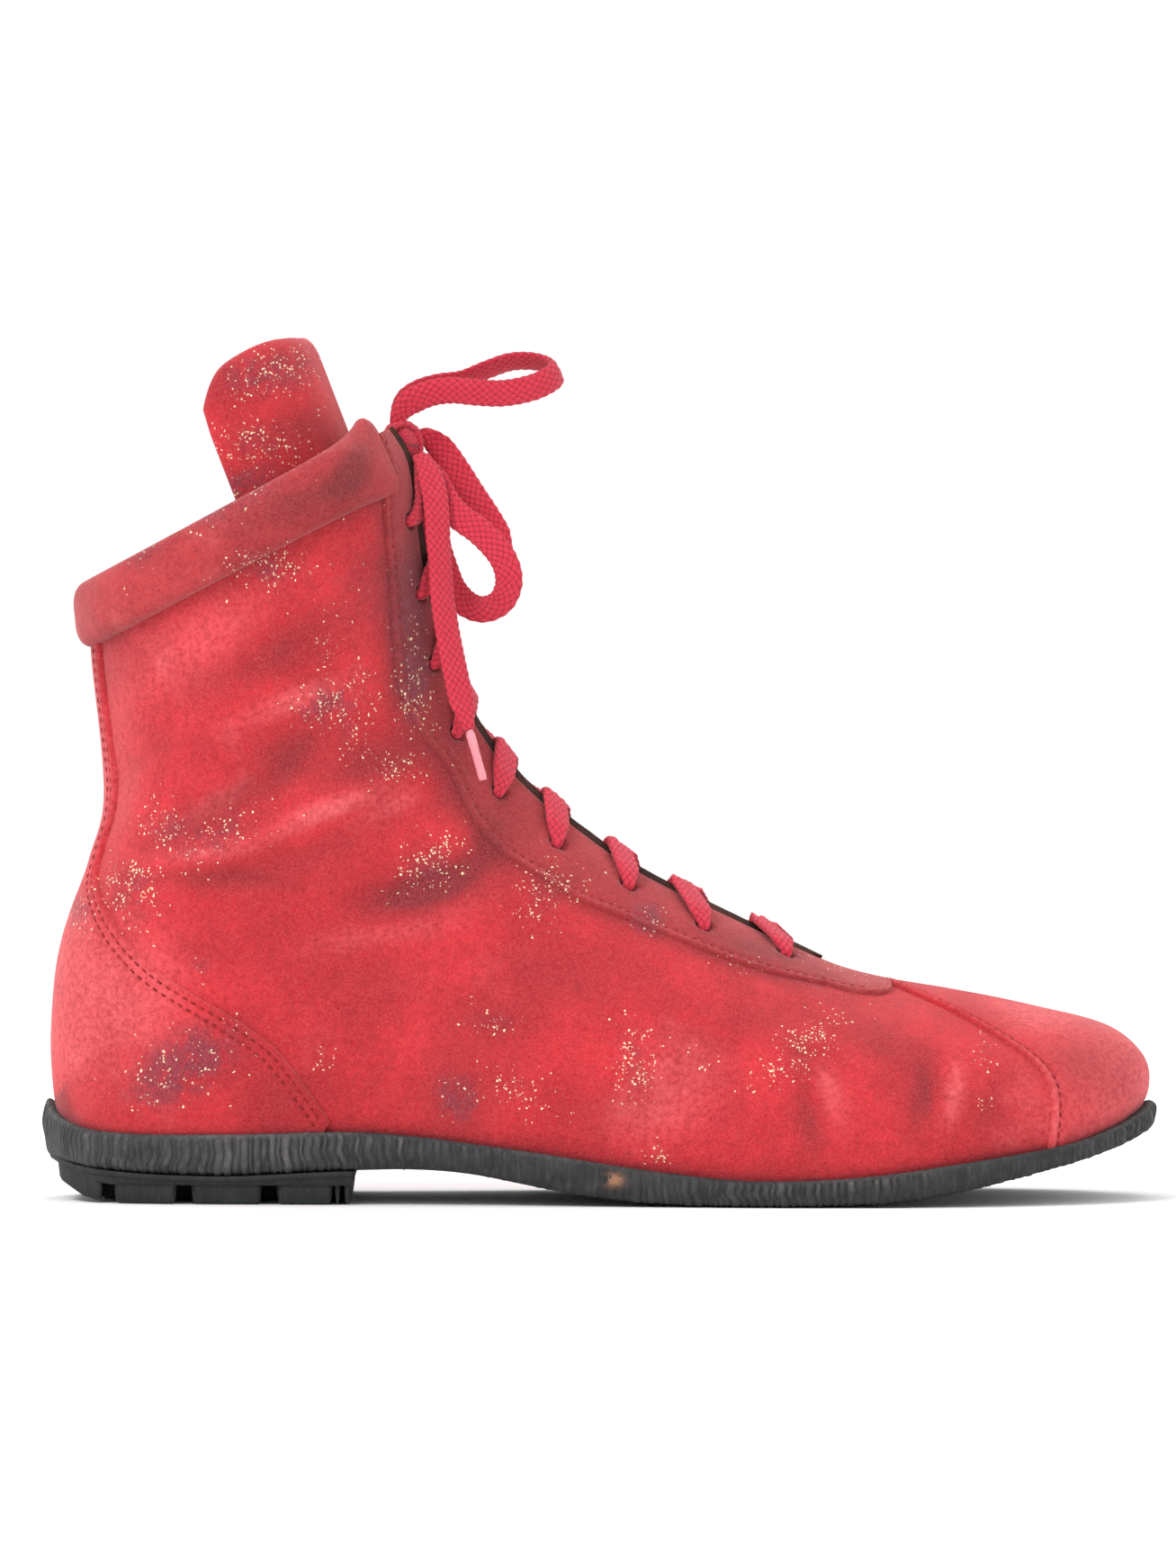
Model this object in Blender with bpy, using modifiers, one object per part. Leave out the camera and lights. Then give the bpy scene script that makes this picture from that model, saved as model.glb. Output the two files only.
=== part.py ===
"""A right boxing boot: a laced suede upper on a black rubber cup sole.

The toe points along +X, the lateral side faces -Y and Z is up. The upper is described by fan
sections: each section is a plane through a point on the front ridge and a point on the lower or
back edge, and every leather, foam and lining panel is a patch of that fan at its own depth.
Design tables are in millimetres, meshes in metres.
"""
import math
from collections import namedtuple

import bmesh
import bpy
import numpy as np
from mathutils import Quaternion, Vector

MM = 0.001
LATERAL = -1
MEDIAL = 1

# ---------------------------------------------------------------- driving dimensions, mm
PANEL_GAP = 0.3          # air left between neighbouring layers
OVERLAY_DEPTH = 1.5      # outer face of the overlays, above the base suede
OVERLAY_THICK = 1.2
SUEDE_THICK = 1.4
STIFFENER_DEPTH = -1.85
STIFFENER_THICK = 0.7
LINING_DEPTH = -2.9
LINING_THICK = 1.2
TONGUE_DEPTH = -5.0
TONGUE_FACE_THICK = 1.0
TONGUE_FOAM_THICK = 3.0
TONGUE_LINING_THICK = 1.0
TONGUE_SINK = 6.0        # it turns back by this much behind the collar

LACE_WIDTH = 7.0
LACE_THICK = 1.4
LACE_HOLE_WIDTH = 3.0    # the lace bunches where it goes through a hole
LACE_OVER = 3.1          # lace centre above the base suede, outside
LACE_UNDER = -2.7        # lace centre below it, behind the facing
EYELET_RADIUS = 2.5
EYELET_SIDES = 8

LIP_HEIGHT = 3.4         # the sole's lip above the upper's lower edge
WALL_CLEARANCE = 0.45    # air between the upper's outermost layer and the sole's wall
WALL_THICK = 2.4
FOOT_INSET = 2.2         # the wall's lower edge leans in by this much
FLOOR_THICK = 2.6
LUG_HEIGHT = 5.3
LUG_GROOVES = ((-133.0, -130.0), (-113.0, -109.0), (-90.0, -86.0))
LUG_WEB = 16.0                              # the grooves stop this far from the middle line
HEEL_FRONT = -66.0

HINGE_POINT = (-65.0, 0.0, 200.0)
TONGUE_TOP = 233.0
TONGUE_LEAN = 0.36       # the tongue leans back by this much for each unit of height
TONGUE_WRAP = 35.0       # how far its wings reach back round the shin
TONGUE_REACH = 30.0      # half its breadth

# ---------------------------------------------------------------- fan sections, mm
# top: the front ridge. low: the lower or back edge. ridge: the ridge's own y. lateral and
# medial: how far each side reaches from y = 0. turn: how far round the section goes, in
# degrees, 180 where it closes on the back seam. soft: power of the ridge, 1 is an ellipse.
Station = namedtuple("Station", "top_x top_z low_x low_z ridge lateral medial turn soft")
STATIONS = [
    Station(144.6, 22.6, 144.6, 22.6, 5.0, -5.0, 5.0, 105, 0.9),
    Station(147.9, 29.5, 143.2, 20.9, 5.0, 6.0, 16.0, 105, 0.9),
    Station(147.0, 37.0, 138.6, 18.0, 5.0, 16.0, 24.5, 105, 0.9),
    Station(140.0, 43.8, 131.5, 14.9, 5.0, 25.5, 32.5, 105, 0.9),
    Station(128.0, 48.2, 122.5, 12.2, 4.5, 34.0, 39.5, 105, 0.95),
    Station(110.5, 51.8, 108.0, 9.6, 4.0, 41.5, 45.0, 105, 1.0),
    Station(93.0, 55.6, 93.0, 7.3, 4.0, 46.0, 48.0, 105, 1.0),
    Station(76.5, 58.3, 76.0, 4.9, 3.5, 48.5, 49.0, 105, 1.05),
    Station(62.0, 62.3, 58.0, 3.5, 3.5, 49.0, 48.5, 105, 1.1),
    Station(48.0, 69.0, 37.0, 3.5, 3.0, 48.0, 46.0, 106, 1.1),
    Station(31.0, 77.5, 10.0, 6.4, 3.0, 45.0, 41.0, 108, 1.1),
    Station(12.0, 88.0, -22.0, 11.2, 2.5, 41.5, 37.0, 113, 1.15),
    Station(-8.0, 103.0, -60.0, 15.5, 2.0, 39.0, 35.5, 119, 1.2),
    Station(-22.5, 117.0, -98.0, 14.9, 1.5, 38.0, 36.0, 124, 1.2),
    Station(-32.5, 130.0, -126.0, 15.0, 1.0, 38.0, 37.0, 135, 1.1),
    Station(-38.5, 139.5, -140.0, 17.3, 0.5, 38.0, 37.5, 155, 1.0),
    Station(-42.0, 147.5, -145.3, 23.6, 0.0, 38.0, 38.0, 180, 1.0),
    Station(-44.5, 159.0, -147.0, 46.0, 0.0, 38.5, 38.0, 180, 1.0),
    Station(-46.6, 169.5, -142.6, 69.0, 0.0, 38.5, 38.0, 180, 1.0),
    Station(-48.3, 179.0, -134.5, 91.0, 0.0, 39.0, 38.5, 180, 1.0),
    Station(-49.6, 187.5, -131.6, 110.0, 0.0, 39.5, 39.0, 180, 1.0),
    Station(-50.6, 194.5, -134.8, 149.5, 0.0, 40.0, 40.0, 180, 1.0),
    Station(-52.6, 201.5, -136.0, 157.5, 0.0, 40.5, 40.5, 180, 1.0),
    Station(-57.0, 208.0, -137.5, 165.0, 0.0, 40.5, 40.5, 180, 1.0),
]
SLIT_END = 8.0           # station where the lacing slit starts
HEEL_CLOSES = 16.0       # first station that closes on the back seam
COLLAR_LINE = 21.0       # station of the collar's lower seam
TOP_LINE = 23.0

# Seams as they lie in the side view, (x, z).
EYESTAY_SEAM = [
    (80, 58), (67, 57), (55, 59), (40, 63), (23, 69.5), (8.5, 75.5), (-6, 81.5), (-16, 87.5),
    (-25.5, 93.7), (-33, 102), (-40, 115.5), (-47.6, 125.5), (-53.5, 137.5), (-55, 150),
    (-56.8, 169), (-58.3, 186.5), (-57.6, 197), (-60, 206), (-64, 213),
]
COUNTER_SEAM = [
    (-67, 12), (-70.5, 19.5), (-78, 31), (-86.6, 42), (-98.5, 50.5), (-109.5, 57), (-120, 64),
    (-129, 74), (-134.5, 86), (-133, 95), (-130.4, 104), (-130, 115), (-133.2, 140),
    (-134, 152), (-137, 170),
]
# Half width of the lacing slit at each station from its end to the top line.
SLIT_HALF_WIDTHS = [0.0, 4.6, 6.6, 7.6, 8.2, 8.5, 8.5, 8.5, 8.7, 8.8, 9.0, 9.0, 9.0, 9.0, 8.5, 8.0]
# Eyelet centres in the side view, from the top down to the throat.
EYELETS = [
    (-52.3, 183.0), (-49.3, 163.3), (-45.6, 144.3), (-39.3, 125.8), (-27.6, 109.6),
    (-11.6, 95.6), (7.4, 84.2), (28.0, 72.9), (50.0, 65.2),
]
TOE_SEAM_LOW = 4.2       # station where the toe cap's seam meets the sole
TOE_SEAM_TOP = 6.9       # and where it meets the throat
TOE_SEAM_BEND = 5        # how sharply it turns forward off the ridge

# Underside of the sole's wall in the side view, (x, z).
WALL_FOOT = [
    (-152, 14), (-147, 11.6), (-139, 9.4), (-120, 8.0), (-100, 7.5), (-72, 9.0), (-50, 9.6),
    (-35, 8.6), (-10, 3.6), (10, 0.9), (30, 0.0), (58, 0.0), (80, 0.9), (98, 3.9), (112, 7.2),
    (126, 10.9), (138, 14.9), (146, 19.2), (152, 23.5),
]
HEEL_REAR = [(-149, 9.0), (-146, 6.2), (-141, 3.0), (-136, 1.0), (-132, 0.0), (-60, 0.0)]

# ---------------------------------------------------------------- laces, mm
KNOT_CENTRE = (-53.2, 0.0, 203.0)
KNOT_RADII = (4.6, 6.2, 5.0)
# The upper loop goes forward from the knot, turns, and comes back on the far side.
UPPER_LOOP = [
    (-54.6, -2.4, 209.2), (-53.6, -3.2, 212.4), (-50.5, -4.2, 215.6), (-45.1, -4.8, 217.9),
    (-39.3, -5.0, 218.6), (-32.9, -5.0, 218.0), (-25.6, -4.6, 217.8), (-18.3, -3.8, 219.2),
    (-13.4, -2.0, 221.4), (-11.2, 1.0, 223.6), (-13.2, 4.2, 225.4), (-18.0, 6.0, 226.6),
    (-24.0, 6.6, 226.4), (-30.5, 6.8, 224.2), (-37.0, 6.6, 221.6), (-44.0, 6.2, 220.6),
    (-50.0, 5.4, 218.6), (-54.0, 4.6, 215.0), (-55.2, 3.6, 209.6),
]
# The lower loop is a hanging ring: out and down on the near side, back up behind.
LOWER_LOOP = [
    (-47.6, -4.0, 200.6), (-45.2, -5.6, 196.2), (-42.8, -7.8, 191.4), (-40.2, -9.8, 187.2),
    (-36.8, -11.4, 183.8), (-32.7, -12.2, 180.9), (-28.9, -12.6, 177.3), (-26.0, -12.6, 173.6),
    (-24.4, -12.2, 169.6), (-24.3, -11.4, 165.6), (-26.0, -10.4, 161.8), (-28.8, -9.4, 159.9),
    (-31.8, -8.4, 159.4), (-34.9, -7.4, 160.4), (-37.6, -6.4, 162.6), (-39.8, -5.2, 165.6),
    (-41.2, -4.0, 169.2), (-42.6, -2.8, 173.6), (-43.9, -1.6, 178.2), (-45.1, -0.6, 183.2),
    (-46.4, 0.0, 188.0), (-48.0, 0.0, 192.6), (-50.2, 0.2, 196.6),
]
LATERAL_END = [
    (-48.6, -7.2, 201.0), (-45.9, -10.2, 196.6), (-44.2, -12.8, 190.4), (-43.5, -14.8, 184.2),
    (-43.2, -16.4, 178.0), (-42.6, -17.4, 171.6), (-42.3, -18.2, 165.0), (-41.5, -18.9, 158.6),
    (-40.4, -19.6, 152.0), (-39.1, -20.4, 145.4), (-37.7, -21.2, 138.8), (-36.2, -22.0, 132.4),
    (-34.8, -22.7, 127.0),
]
MEDIAL_END = [
    (-49.8, 4.6, 205.6), (-46.8, 4.8, 206.0), (-44.0, 4.6, 204.2), (-41.2, 4.0, 201.0),
    (-37.9, 3.0, 196.2), (-34.2, 1.8, 190.4), (-30.6, 0.4, 185.0), (-27.6, -1.2, 180.0),
    (-25.4, -2.6, 175.2), (-24.4, -3.2, 172.2),
]
AGLET_LENGTH = 14.0
AGLET_RADIUS = 1.3
AGLET_DIRECTIONS = {"lateral": (4.0, -1.6, -14.0), "medial": (-1.2, 0.6, -14.0)}

COLOURS = {
    "suede": (0.62, 0.035, 0.045), "suede_worn": (0.45, 0.04, 0.05), "lace": (0.66, 0.03, 0.08),
    "aglet": (0.75, 0.28, 0.34), "rubber": (0.035, 0.035, 0.038), "facing": (0.10, 0.035, 0.025),
    "lining": (0.20, 0.075, 0.05), "foam": (0.72, 0.66, 0.50), "board": (0.42, 0.30, 0.18),
    "steel": (0.50, 0.50, 0.52), "stiffener": (0.55, 0.48, 0.38),
}


# ---------------------------------------------------------------- small helpers
def spline(rows, t):
    """Catmull-Rom value of a table of vectors at the fractional index t."""
    last = len(rows) - 1
    i = min(max(int(math.floor(t)), 0), last - 1)
    u = t - i
    a, b, c, d = (np.asarray(rows[min(max(k, 0), last)], float) for k in range(i - 1, i + 3))
    return 0.5 * (2 * b + (c - a) * u + (2 * a - 5 * b + 4 * c - d) * u**2 + (3 * b - a - 3 * c + d) * u**3)


def height_on(table, x):
    """Height at x on a table of (x, z) points in order of x."""
    xs, zs = zip(*table)
    return float(np.interp(x, xs, zs))


def dense(curve, per_span=6):
    steps = (len(curve) - 1) * per_span
    return [spline(curve, k / per_span) for k in range(steps + 1)]


def vec(point):
    return Vector(tuple(float(value) * MM for value in point))


def material(name, roughness=0.9, metallic=0.0):
    made = bpy.data.materials.get(name) or bpy.data.materials.new(name)
    made.use_nodes = True
    shader = made.node_tree.nodes["Principled BSDF"]
    shader.inputs["Base Color"].default_value = (*COLOURS[name], 1.0)
    shader.inputs["Roughness"].default_value = roughness
    shader.inputs["Metallic"].default_value = metallic
    return made


def add_object(name, shape, collection, look):
    """Turn a bmesh into a named object and weld what coincides."""
    bmesh.ops.remove_doubles(shape, verts=shape.verts, dist=1e-6)
    bmesh.ops.recalc_face_normals(shape, faces=shape.faces)
    mesh = bpy.data.meshes.new(name)
    shape.to_mesh(mesh)
    shape.free()
    piece = bpy.data.objects.new(name, mesh)
    collection.objects.link(piece)
    mesh.materials.append(look)
    mesh.shade_smooth()
    mesh.set_sharp_from_angle(angle=math.radians(40))
    return piece


def add_faces(shape, verts, faces):
    for face in faces:
        corners = []
        for index in face:
            if verts[index] not in corners:
                corners.append(verts[index])
        if len(corners) >= 3 and shape.faces.get(corners) is None:
            shape.faces.new(corners)


# ---------------------------------------------------------------- the fan surface
def station(t):
    return Station(*spline(STATIONS, t))


def section_point(row, p, side):
    """Point at fraction p from ridge to lower edge of a section, on one side, mm."""
    cosine = 1 - p * (1 - math.cos(math.radians(min(row.turn, 180))))
    sine = math.sqrt(max(0.0, 1 - min(1.0, max(-1.0, cosine)) ** 2))
    reach = side * (row.lateral if side == LATERAL else row.medial) - row.ridge
    power = row.soft + (0.95 - row.soft) * p
    y = row.ridge + reach * sine**power
    return np.array([row.top_x + (row.low_x - row.top_x) * p, y, row.top_z + (row.low_z - row.top_z) * p])


def fraction_at_breadth(row, side, breadth):
    """Fraction p where the section is this far out from its ridge."""
    reach = abs(side * (row.lateral if side == LATERAL else row.medial) - row.ridge)
    sine = min(1.0, breadth / max(reach, 1e-6)) ** (1 / row.soft)
    return (1 - math.sqrt(1 - sine**2)) / (1 - math.cos(math.radians(min(row.turn, 180))))


def fraction_at_seam(row, seam, fallback):
    """Fraction p where the section's line crosses a seam drawn in the side view."""
    start = np.array([row.top_x, row.top_z])
    span = np.array([row.low_x, row.low_z]) - start
    for a, b in zip(seam, seam[1:]):
        along = b - a
        cross = span[0] * along[1] - span[1] * along[0]
        if abs(cross) < 1e-9:
            continue
        p = ((a[0] - start[0]) * along[1] - (a[1] - start[1]) * along[0]) / cross
        q = ((a[0] - start[0]) * span[1] - (a[1] - start[1]) * span[0]) / cross
        if -0.001 <= q <= 1.001 and 0.0 < p <= 1.0:
            return p
    return fallback


def slit_half_width(t):
    return float(spline(np.array(SLIT_HALF_WIDTHS)[:, None], t - SLIT_END)[0]) if t > SLIT_END else 0.0


def ridge_frame(t, y, depth=0.0):
    """Point over the lacing at station t and breadth y, its outward normal and row direction."""
    def at(t_value, y_value):
        row = station(t_value)
        side = LATERAL if y_value < row.ridge else MEDIAL
        return section_point(row, fraction_at_breadth(row, side, abs(y_value - row.ridge)), side)
    step = 0.02
    point = at(t, y)
    along = at(t + step, y) - at(t - step, y)
    across = at(t, y + 0.5) - at(t, y - 0.5)
    normal = np.cross(across, along)
    normal /= np.linalg.norm(normal)
    if normal[0] + normal[2] < 0:
        normal = -normal
    return point + normal * depth, normal, along / np.linalg.norm(along)


# ---------------------------------------------------------------- the shared grid
# Columns: 0 lacing edge, 2 facing edge, 3 underlap, 4 eyestay seam, 10 counter seam, 12 lower
# or back edge. Every layer uses the same rows and columns, so facets stay parallel.
LAST_COLUMN = 12
FACING_COLUMN, UNDERLAP_COLUMN, SEAM_COLUMN, COUNTER_COLUMN = 2, 3, 4, 10
TOE_SHARES = [0.0, 0.15, 0.32, 0.54, 0.78, 1.0]
UPPER_ROWS = [
    7.45, 8.0, 8.7, 9.4, 10.1, 10.8, 11.4, 12.0, 12.6, 13.2, 13.8, 14.5, 15.2, 16.0, 16.8, 17.6,
    18.4, 19.2, 20.1, 21.0, 22.0, 23.0,
]
SEAM_ROW = len(TOE_SHARES) - 1
SLIT_ROW = SEAM_ROW + 2
COLLAR_ROW = SEAM_ROW + UPPER_ROWS.index(COLLAR_LINE) + 1
TOP_ROW = SEAM_ROW + len(UPPER_ROWS)
HEEL_ROW = SEAM_ROW + UPPER_ROWS.index(HEEL_CLOSES) + 1
COUNTER_START = 12.3     # the counter patch starts at this station


def toe_seam_station(p):
    return TOE_SEAM_LOW + (TOE_SEAM_TOP - TOE_SEAM_LOW) * (1 - p) ** TOE_SEAM_BEND


def row_station(row_index, p):
    """Station of a grid row at fraction p: the toe rows follow the toe cap's seam."""
    if row_index <= SEAM_ROW:
        return TOE_SHARES[row_index] * toe_seam_station(p)
    t = UPPER_ROWS[row_index - SEAM_ROW - 1]
    if row_index < SLIT_ROW:
        return (toe_seam_station(p) + UPPER_ROWS[1]) / 2
    return t


def column_fractions(row_index, side, seams):
    """Fractions of the columns of one row, spread evenly by angle between the seams."""
    eyestay, counter = seams
    row = station(row_station(row_index, 0.0))
    full = math.radians(min(station(row_station(row_index, 1.0)).turn, 180))

    def angle(p):
        return math.acos(1 - p * (1 - math.cos(full)))

    even = [full * k / LAST_COLUMN for k in range(LAST_COLUMN + 1)]
    t = row_station(row_index, 0.0)
    edge = angle(fraction_at_breadth(row, side, slit_half_width(t)))
    if row_index <= SEAM_ROW:
        seam = angle(fraction_at_breadth(row, side, 4.0)) if row_index else even[SEAM_COLUMN]
        share = TOE_SHARES[row_index] ** 2
        seam = even[SEAM_COLUMN] + (seam - even[SEAM_COLUMN]) * share
    else:
        seam = angle(fraction_at_seam(row, eyestay, 0.03))
    lap = [0.0, 0.45, 0.68, 0.78, 1.0]
    angles = [edge + (seam - edge) * share for share in lap]
    last = full
    if t >= COUNTER_START:
        last = angle(min(0.985, fraction_at_seam(row, counter, 0.95)))
        inner = COUNTER_COLUMN - SEAM_COLUMN
        angles += [seam + (last - seam) * k / inner for k in range(1, inner + 1)]
        angles += [(last + full) / 2, full]
    else:
        inner = LAST_COLUMN - SEAM_COLUMN
        angles += [seam + (full - seam) * k / inner for k in range(1, inner + 1)]
    return [(1 - math.cos(value)) / (1 - math.cos(full)) for value in angles]


def build_grid():
    """Base points and outward normals of the shared grid, keyed (side, row, column)."""
    seams = (dense(EYESTAY_SEAM), dense(COUNTER_SEAM))
    shape = bmesh.new()
    points = {}
    for side in (LATERAL, MEDIAL):
        for row_index in range(TOP_ROW + 1):
            for column, p in enumerate(column_fractions(row_index, side, seams)):
                row = station(row_station(row_index, p))
                points[side, row_index, column] = section_point(row, p, side)
    for row_index in range(TOP_ROW + 1):
        row = station(row_station(row_index, 0.0))
        points[0, row_index, 0] = np.array([row.top_x, row.ridge, row.top_z])
    verts = {key: shape.verts.new(point) for key, point in points.items()}
    for row_index in range(TOP_ROW):
        ring = [(0, 0)] + [(MEDIAL, column) for column in range(LAST_COLUMN + 1)]
        other = [(0, 0)] + [(LATERAL, column) for column in range(LAST_COLUMN + 1)]
        for line, flip in ((ring, False), (other, True)):
            for (side_a, a), (side_b, b) in zip(line, line[1:]):
                corners = [
                    verts[side_a, row_index, a], verts[side_b, row_index, b],
                    verts[side_b, row_index + 1, b], verts[side_a, row_index + 1, a],
                ]
                shape.faces.new(corners[::-1] if flip else corners)
    bmesh.ops.remove_doubles(shape, verts=shape.verts, dist=1e-4)
    bmesh.ops.recalc_face_normals(shape, faces=shape.faces)
    shape.normal_update()
    table = {tuple(round(value, 2) for value in vert.co): np.array(vert.normal) for vert in shape.verts}
    outside = sum(float(np.dot(vert.normal, vert.co - Vector((-40, 0, 60)))) for vert in shape.verts)
    normals = {}
    for key, point in points.items():
        near = min(table, key=lambda place: sum((a - b) ** 2 for a, b in zip(place, point)))
        normals[key] = table[near] * (1 if outside > 0 else -1)
    shape.free()
    return points, normals


GRID_POINTS, GRID_NORMALS = build_grid()


def node(side, row, column, depth):
    """Grid point pushed out by depth; row and column may be fractional."""
    total = np.zeros(3)
    for row_index, row_share in ((int(row), 1 - row % 1), (int(row) + 1, row % 1)):
        for column_index, column_share in ((int(column), 1 - column % 1), (int(column) + 1, column % 1)):
            share = row_share * column_share
            if share > 0:
                key = (side, row_index, column_index)
                total += share * (GRID_POINTS[key] + GRID_NORMALS[key] * depth)
    return total


def one_side(side, first, last):
    """Column list of a panel on one side, ridge to lower edge."""
    whole = [column for column in range(LAST_COLUMN + 1) if first < column < last]
    return [(side, column) for column in [first, *whole, last]]


def across_ridge(last):
    columns = range(0, last + 1)
    return [(LATERAL, c) for c in reversed(columns)] + [(0, 0)] + [(MEDIAL, c) for c in columns]


def row_list(first, last):
    whole = [row for row in range(TOP_ROW + 1) if first < row < last]
    return [first, *whole, last]


def sink_share(row):
    """How far a row has sunk behind the collar: 0 up to two rows under it, 1 at the top line."""
    return min(1.0, max(0.0, (row - COLLAR_ROW + 2) / (TOP_ROW - COLLAR_ROW + 2))) ** 1.3


def panel(name, rows, strips, depth, thickness, collection, look, sink=0.0):
    """A shell panel over the given rows and column strips, thickened inwards."""
    shape = bmesh.new()
    for strip in strips:
        lines = []
        for row in rows:
            level = depth - sink_share(row) * sink
            lines.append([shape.verts.new(vec(node(side, row, column, level))) for side, column in strip])
        rising = [after > before for (_, before), (_, after) in zip(strip, strip[1:])]
        for low, high in zip(lines, lines[1:]):
            for a, b, c, d, away in zip(low, low[1:], high[1:], high, rising):
                for corners in (((a, b, c), (a, c, d)) if away else ((a, b, d), (b, c, d))):
                    shape.faces.new(corners)
    bmesh.ops.remove_doubles(shape, verts=shape.verts, dist=2e-6)
    bmesh.ops.dissolve_degenerate(shape, edges=shape.edges, dist=2e-6)
    bmesh.ops.recalc_face_normals(shape, faces=shape.faces)
    shape.normal_update()
    middle = rows[len(rows) // 2]
    side, column = strips[0][len(strips[0]) // 2]
    target = vec(node(side, int(middle), int(column), depth))
    nearest = min(shape.verts, key=lambda vert: (vert.co - target).length)
    if nearest.normal.dot(Vector(GRID_NORMALS[side, int(middle), int(column)])) < 0:
        bmesh.ops.reverse_faces(shape, faces=shape.faces)
    mesh = bpy.data.meshes.new(name)
    shape.to_mesh(mesh)
    shape.free()
    piece = bpy.data.objects.new(name, mesh)
    collection.objects.link(piece)
    mesh.materials.append(look)
    mesh.shade_smooth()
    shell = piece.modifiers.new("thickness", "SOLIDIFY")
    shell.thickness = thickness * MM
    shell.offset = -1
    return piece


# ---------------------------------------------------------------- upper panels
def build_upper(parts, cutters):
    suede, worn = material("suede"), material("suede_worn")
    facing, lining = material("facing", 0.7), material("lining", 0.7)
    stiffener = material("stiffener")
    back = LAST_COLUMN - 0.03
    slit = SLIT_ROW + 0.02
    base_rows = row_list(SEAM_ROW - 1, COLLAR_ROW - 0.05)
    for side, word in ((LATERAL, "lateral"), (MEDIAL, "medial")):
        panel(
            f"quarter_{word}", base_rows, [one_side(side, UNDERLAP_COLUMN, back)], 0.0, SUEDE_THICK,
            parts, suede,
        )
        panel(
            f"lining_{word}", row_list(slit, COLLAR_ROW - 0.05), [one_side(side, UNDERLAP_COLUMN, back)],
            LINING_DEPTH, LINING_THICK, parts, lining,
        )
        panel(
            f"facing_{word}", row_list(SLIT_ROW + 0.25, TOP_ROW), [one_side(side, 0, FACING_COLUMN)], 0.0,
            OVERLAY_THICK, parts, facing,
        )
    all_columns = across_ridge(LAST_COLUMN)
    panel("toe_cap", row_list(0, SEAM_ROW), [all_columns], OVERLAY_DEPTH, OVERLAY_THICK, parts, suede)
    panel("toe_puff", row_list(0, 3), [all_columns], STIFFENER_DEPTH, STIFFENER_THICK, parts, stiffener)
    panel(
        "lining_vamp", row_list(0, SLIT_ROW - 0.05), [all_columns], LINING_DEPTH, LINING_THICK, parts, lining
    )
    bridge = across_ridge(SEAM_COLUMN)
    eyestay = panel(
        "eyestay", row_list(SEAM_ROW + 0.05, TOP_ROW), [bridge], OVERLAY_DEPTH, OVERLAY_THICK, parts, worn
    )
    open_slit(eyestay)
    around_heel = [one_side(side, COUNTER_COLUMN, LAST_COLUMN) for side in (LATERAL, MEDIAL)]
    counter_row = SEAM_ROW + 1 + next(k for k, t in enumerate(UPPER_ROWS) if t >= COUNTER_START)
    panel(
        "counter_patch", row_list(counter_row, COLLAR_ROW - 0.05), around_heel, OVERLAY_DEPTH,
        OVERLAY_THICK, parts, suede,
    )
    stiff_columns = [one_side(side, COUNTER_COLUMN - 1, LAST_COLUMN) for side in (LATERAL, MEDIAL)]
    panel(
        "heel_stiffener", row_list(counter_row, HEEL_ROW + 3), stiff_columns, STIFFENER_DEPTH,
        STIFFENER_THICK, parts, stiffener,
    )
    punch_eyelets(cutters)


def open_slit(eyestay):
    """Remove the faces that bridge the lacing slit, leaving the bridge below its end."""
    shape = bmesh.new()
    shape.from_mesh(eyestay.data)
    ridge_rows = [station(t) for t in UPPER_ROWS]
    limit = vec((station(SLIT_END).top_x, 0, 0)).x
    lip = 0.9
    doomed = []
    for face in shape.faces:
        centre = face.calc_center_median()
        if centre.x > limit:
            continue
        away = lambda row: (row.top_x * MM - centre.x) ** 2 + (row.top_z * MM - centre.z) ** 2
        near = min(ridge_rows, key=away)
        t = UPPER_ROWS[ridge_rows.index(near)]
        if abs(centre.y / MM - near.ridge) < lip * slit_half_width(t):
            doomed.append(face)
    bmesh.ops.delete(shape, geom=doomed, context="FACES")
    shape.to_mesh(eyestay.data)
    shape.free()


def eyelet_place(index, side):
    """Station and breadth of an eyelet, found from its place in the side view."""
    x, z = EYELETS[index]
    best = None
    for step in range(800, 2300, 2):
        row = station(step / 100)
        span = (row.low_x - row.top_x, row.low_z - row.top_z)
        p = ((x - row.top_x) * span[0] + (z - row.top_z) * span[1]) / (span[0] ** 2 + span[1] ** 2)
        miss = math.hypot(row.top_x + span[0] * p - x, row.top_z + span[1] * p - z)
        if p > 0 and (best is None or miss < best[0]):
            best = (miss, step / 100, section_point(row, p, side)[1])
    return best[1], best[2]


EYELET_PLACES = {
    (index, side): eyelet_place(index, side) for index in range(len(EYELETS)) for side in (-1, 1)
}


def punch_eyelets(cutters):
    """Cut round holes through the eyestay and its facings."""
    length = 9.0
    for side, word in ((LATERAL, "lateral"), (MEDIAL, "medial")):
        shape = bmesh.new()
        for index in range(len(EYELETS)):
            t, y = EYELET_PLACES[index, side]
            point, normal, _ = ridge_frame(t, y)
            turn = Vector((0, 0, 1)).rotation_difference(Vector(normal)).to_matrix().to_4x4()
            turn.translation = vec(point)
            bmesh.ops.create_cone(
                shape, cap_ends=True, segments=EYELET_SIDES, radius1=EYELET_RADIUS * MM,
                radius2=EYELET_RADIUS * MM, depth=length * MM, matrix=turn,
            )
        mesh = bpy.data.meshes.new(f"eyelet_punch_{word}")
        shape.to_mesh(mesh)
        shape.free()
        punch = bpy.data.objects.new(mesh.name, mesh)
        punch.hide_render = True
        punch.display_type = "WIRE"
        cutters.objects.link(punch)
        for name in ("eyestay", f"facing_{word}"):
            hole = bpy.data.objects[name].modifiers.new(f"eyelets_{word}", "BOOLEAN")
            hole.operation = "DIFFERENCE"
            hole.object = punch


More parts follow.
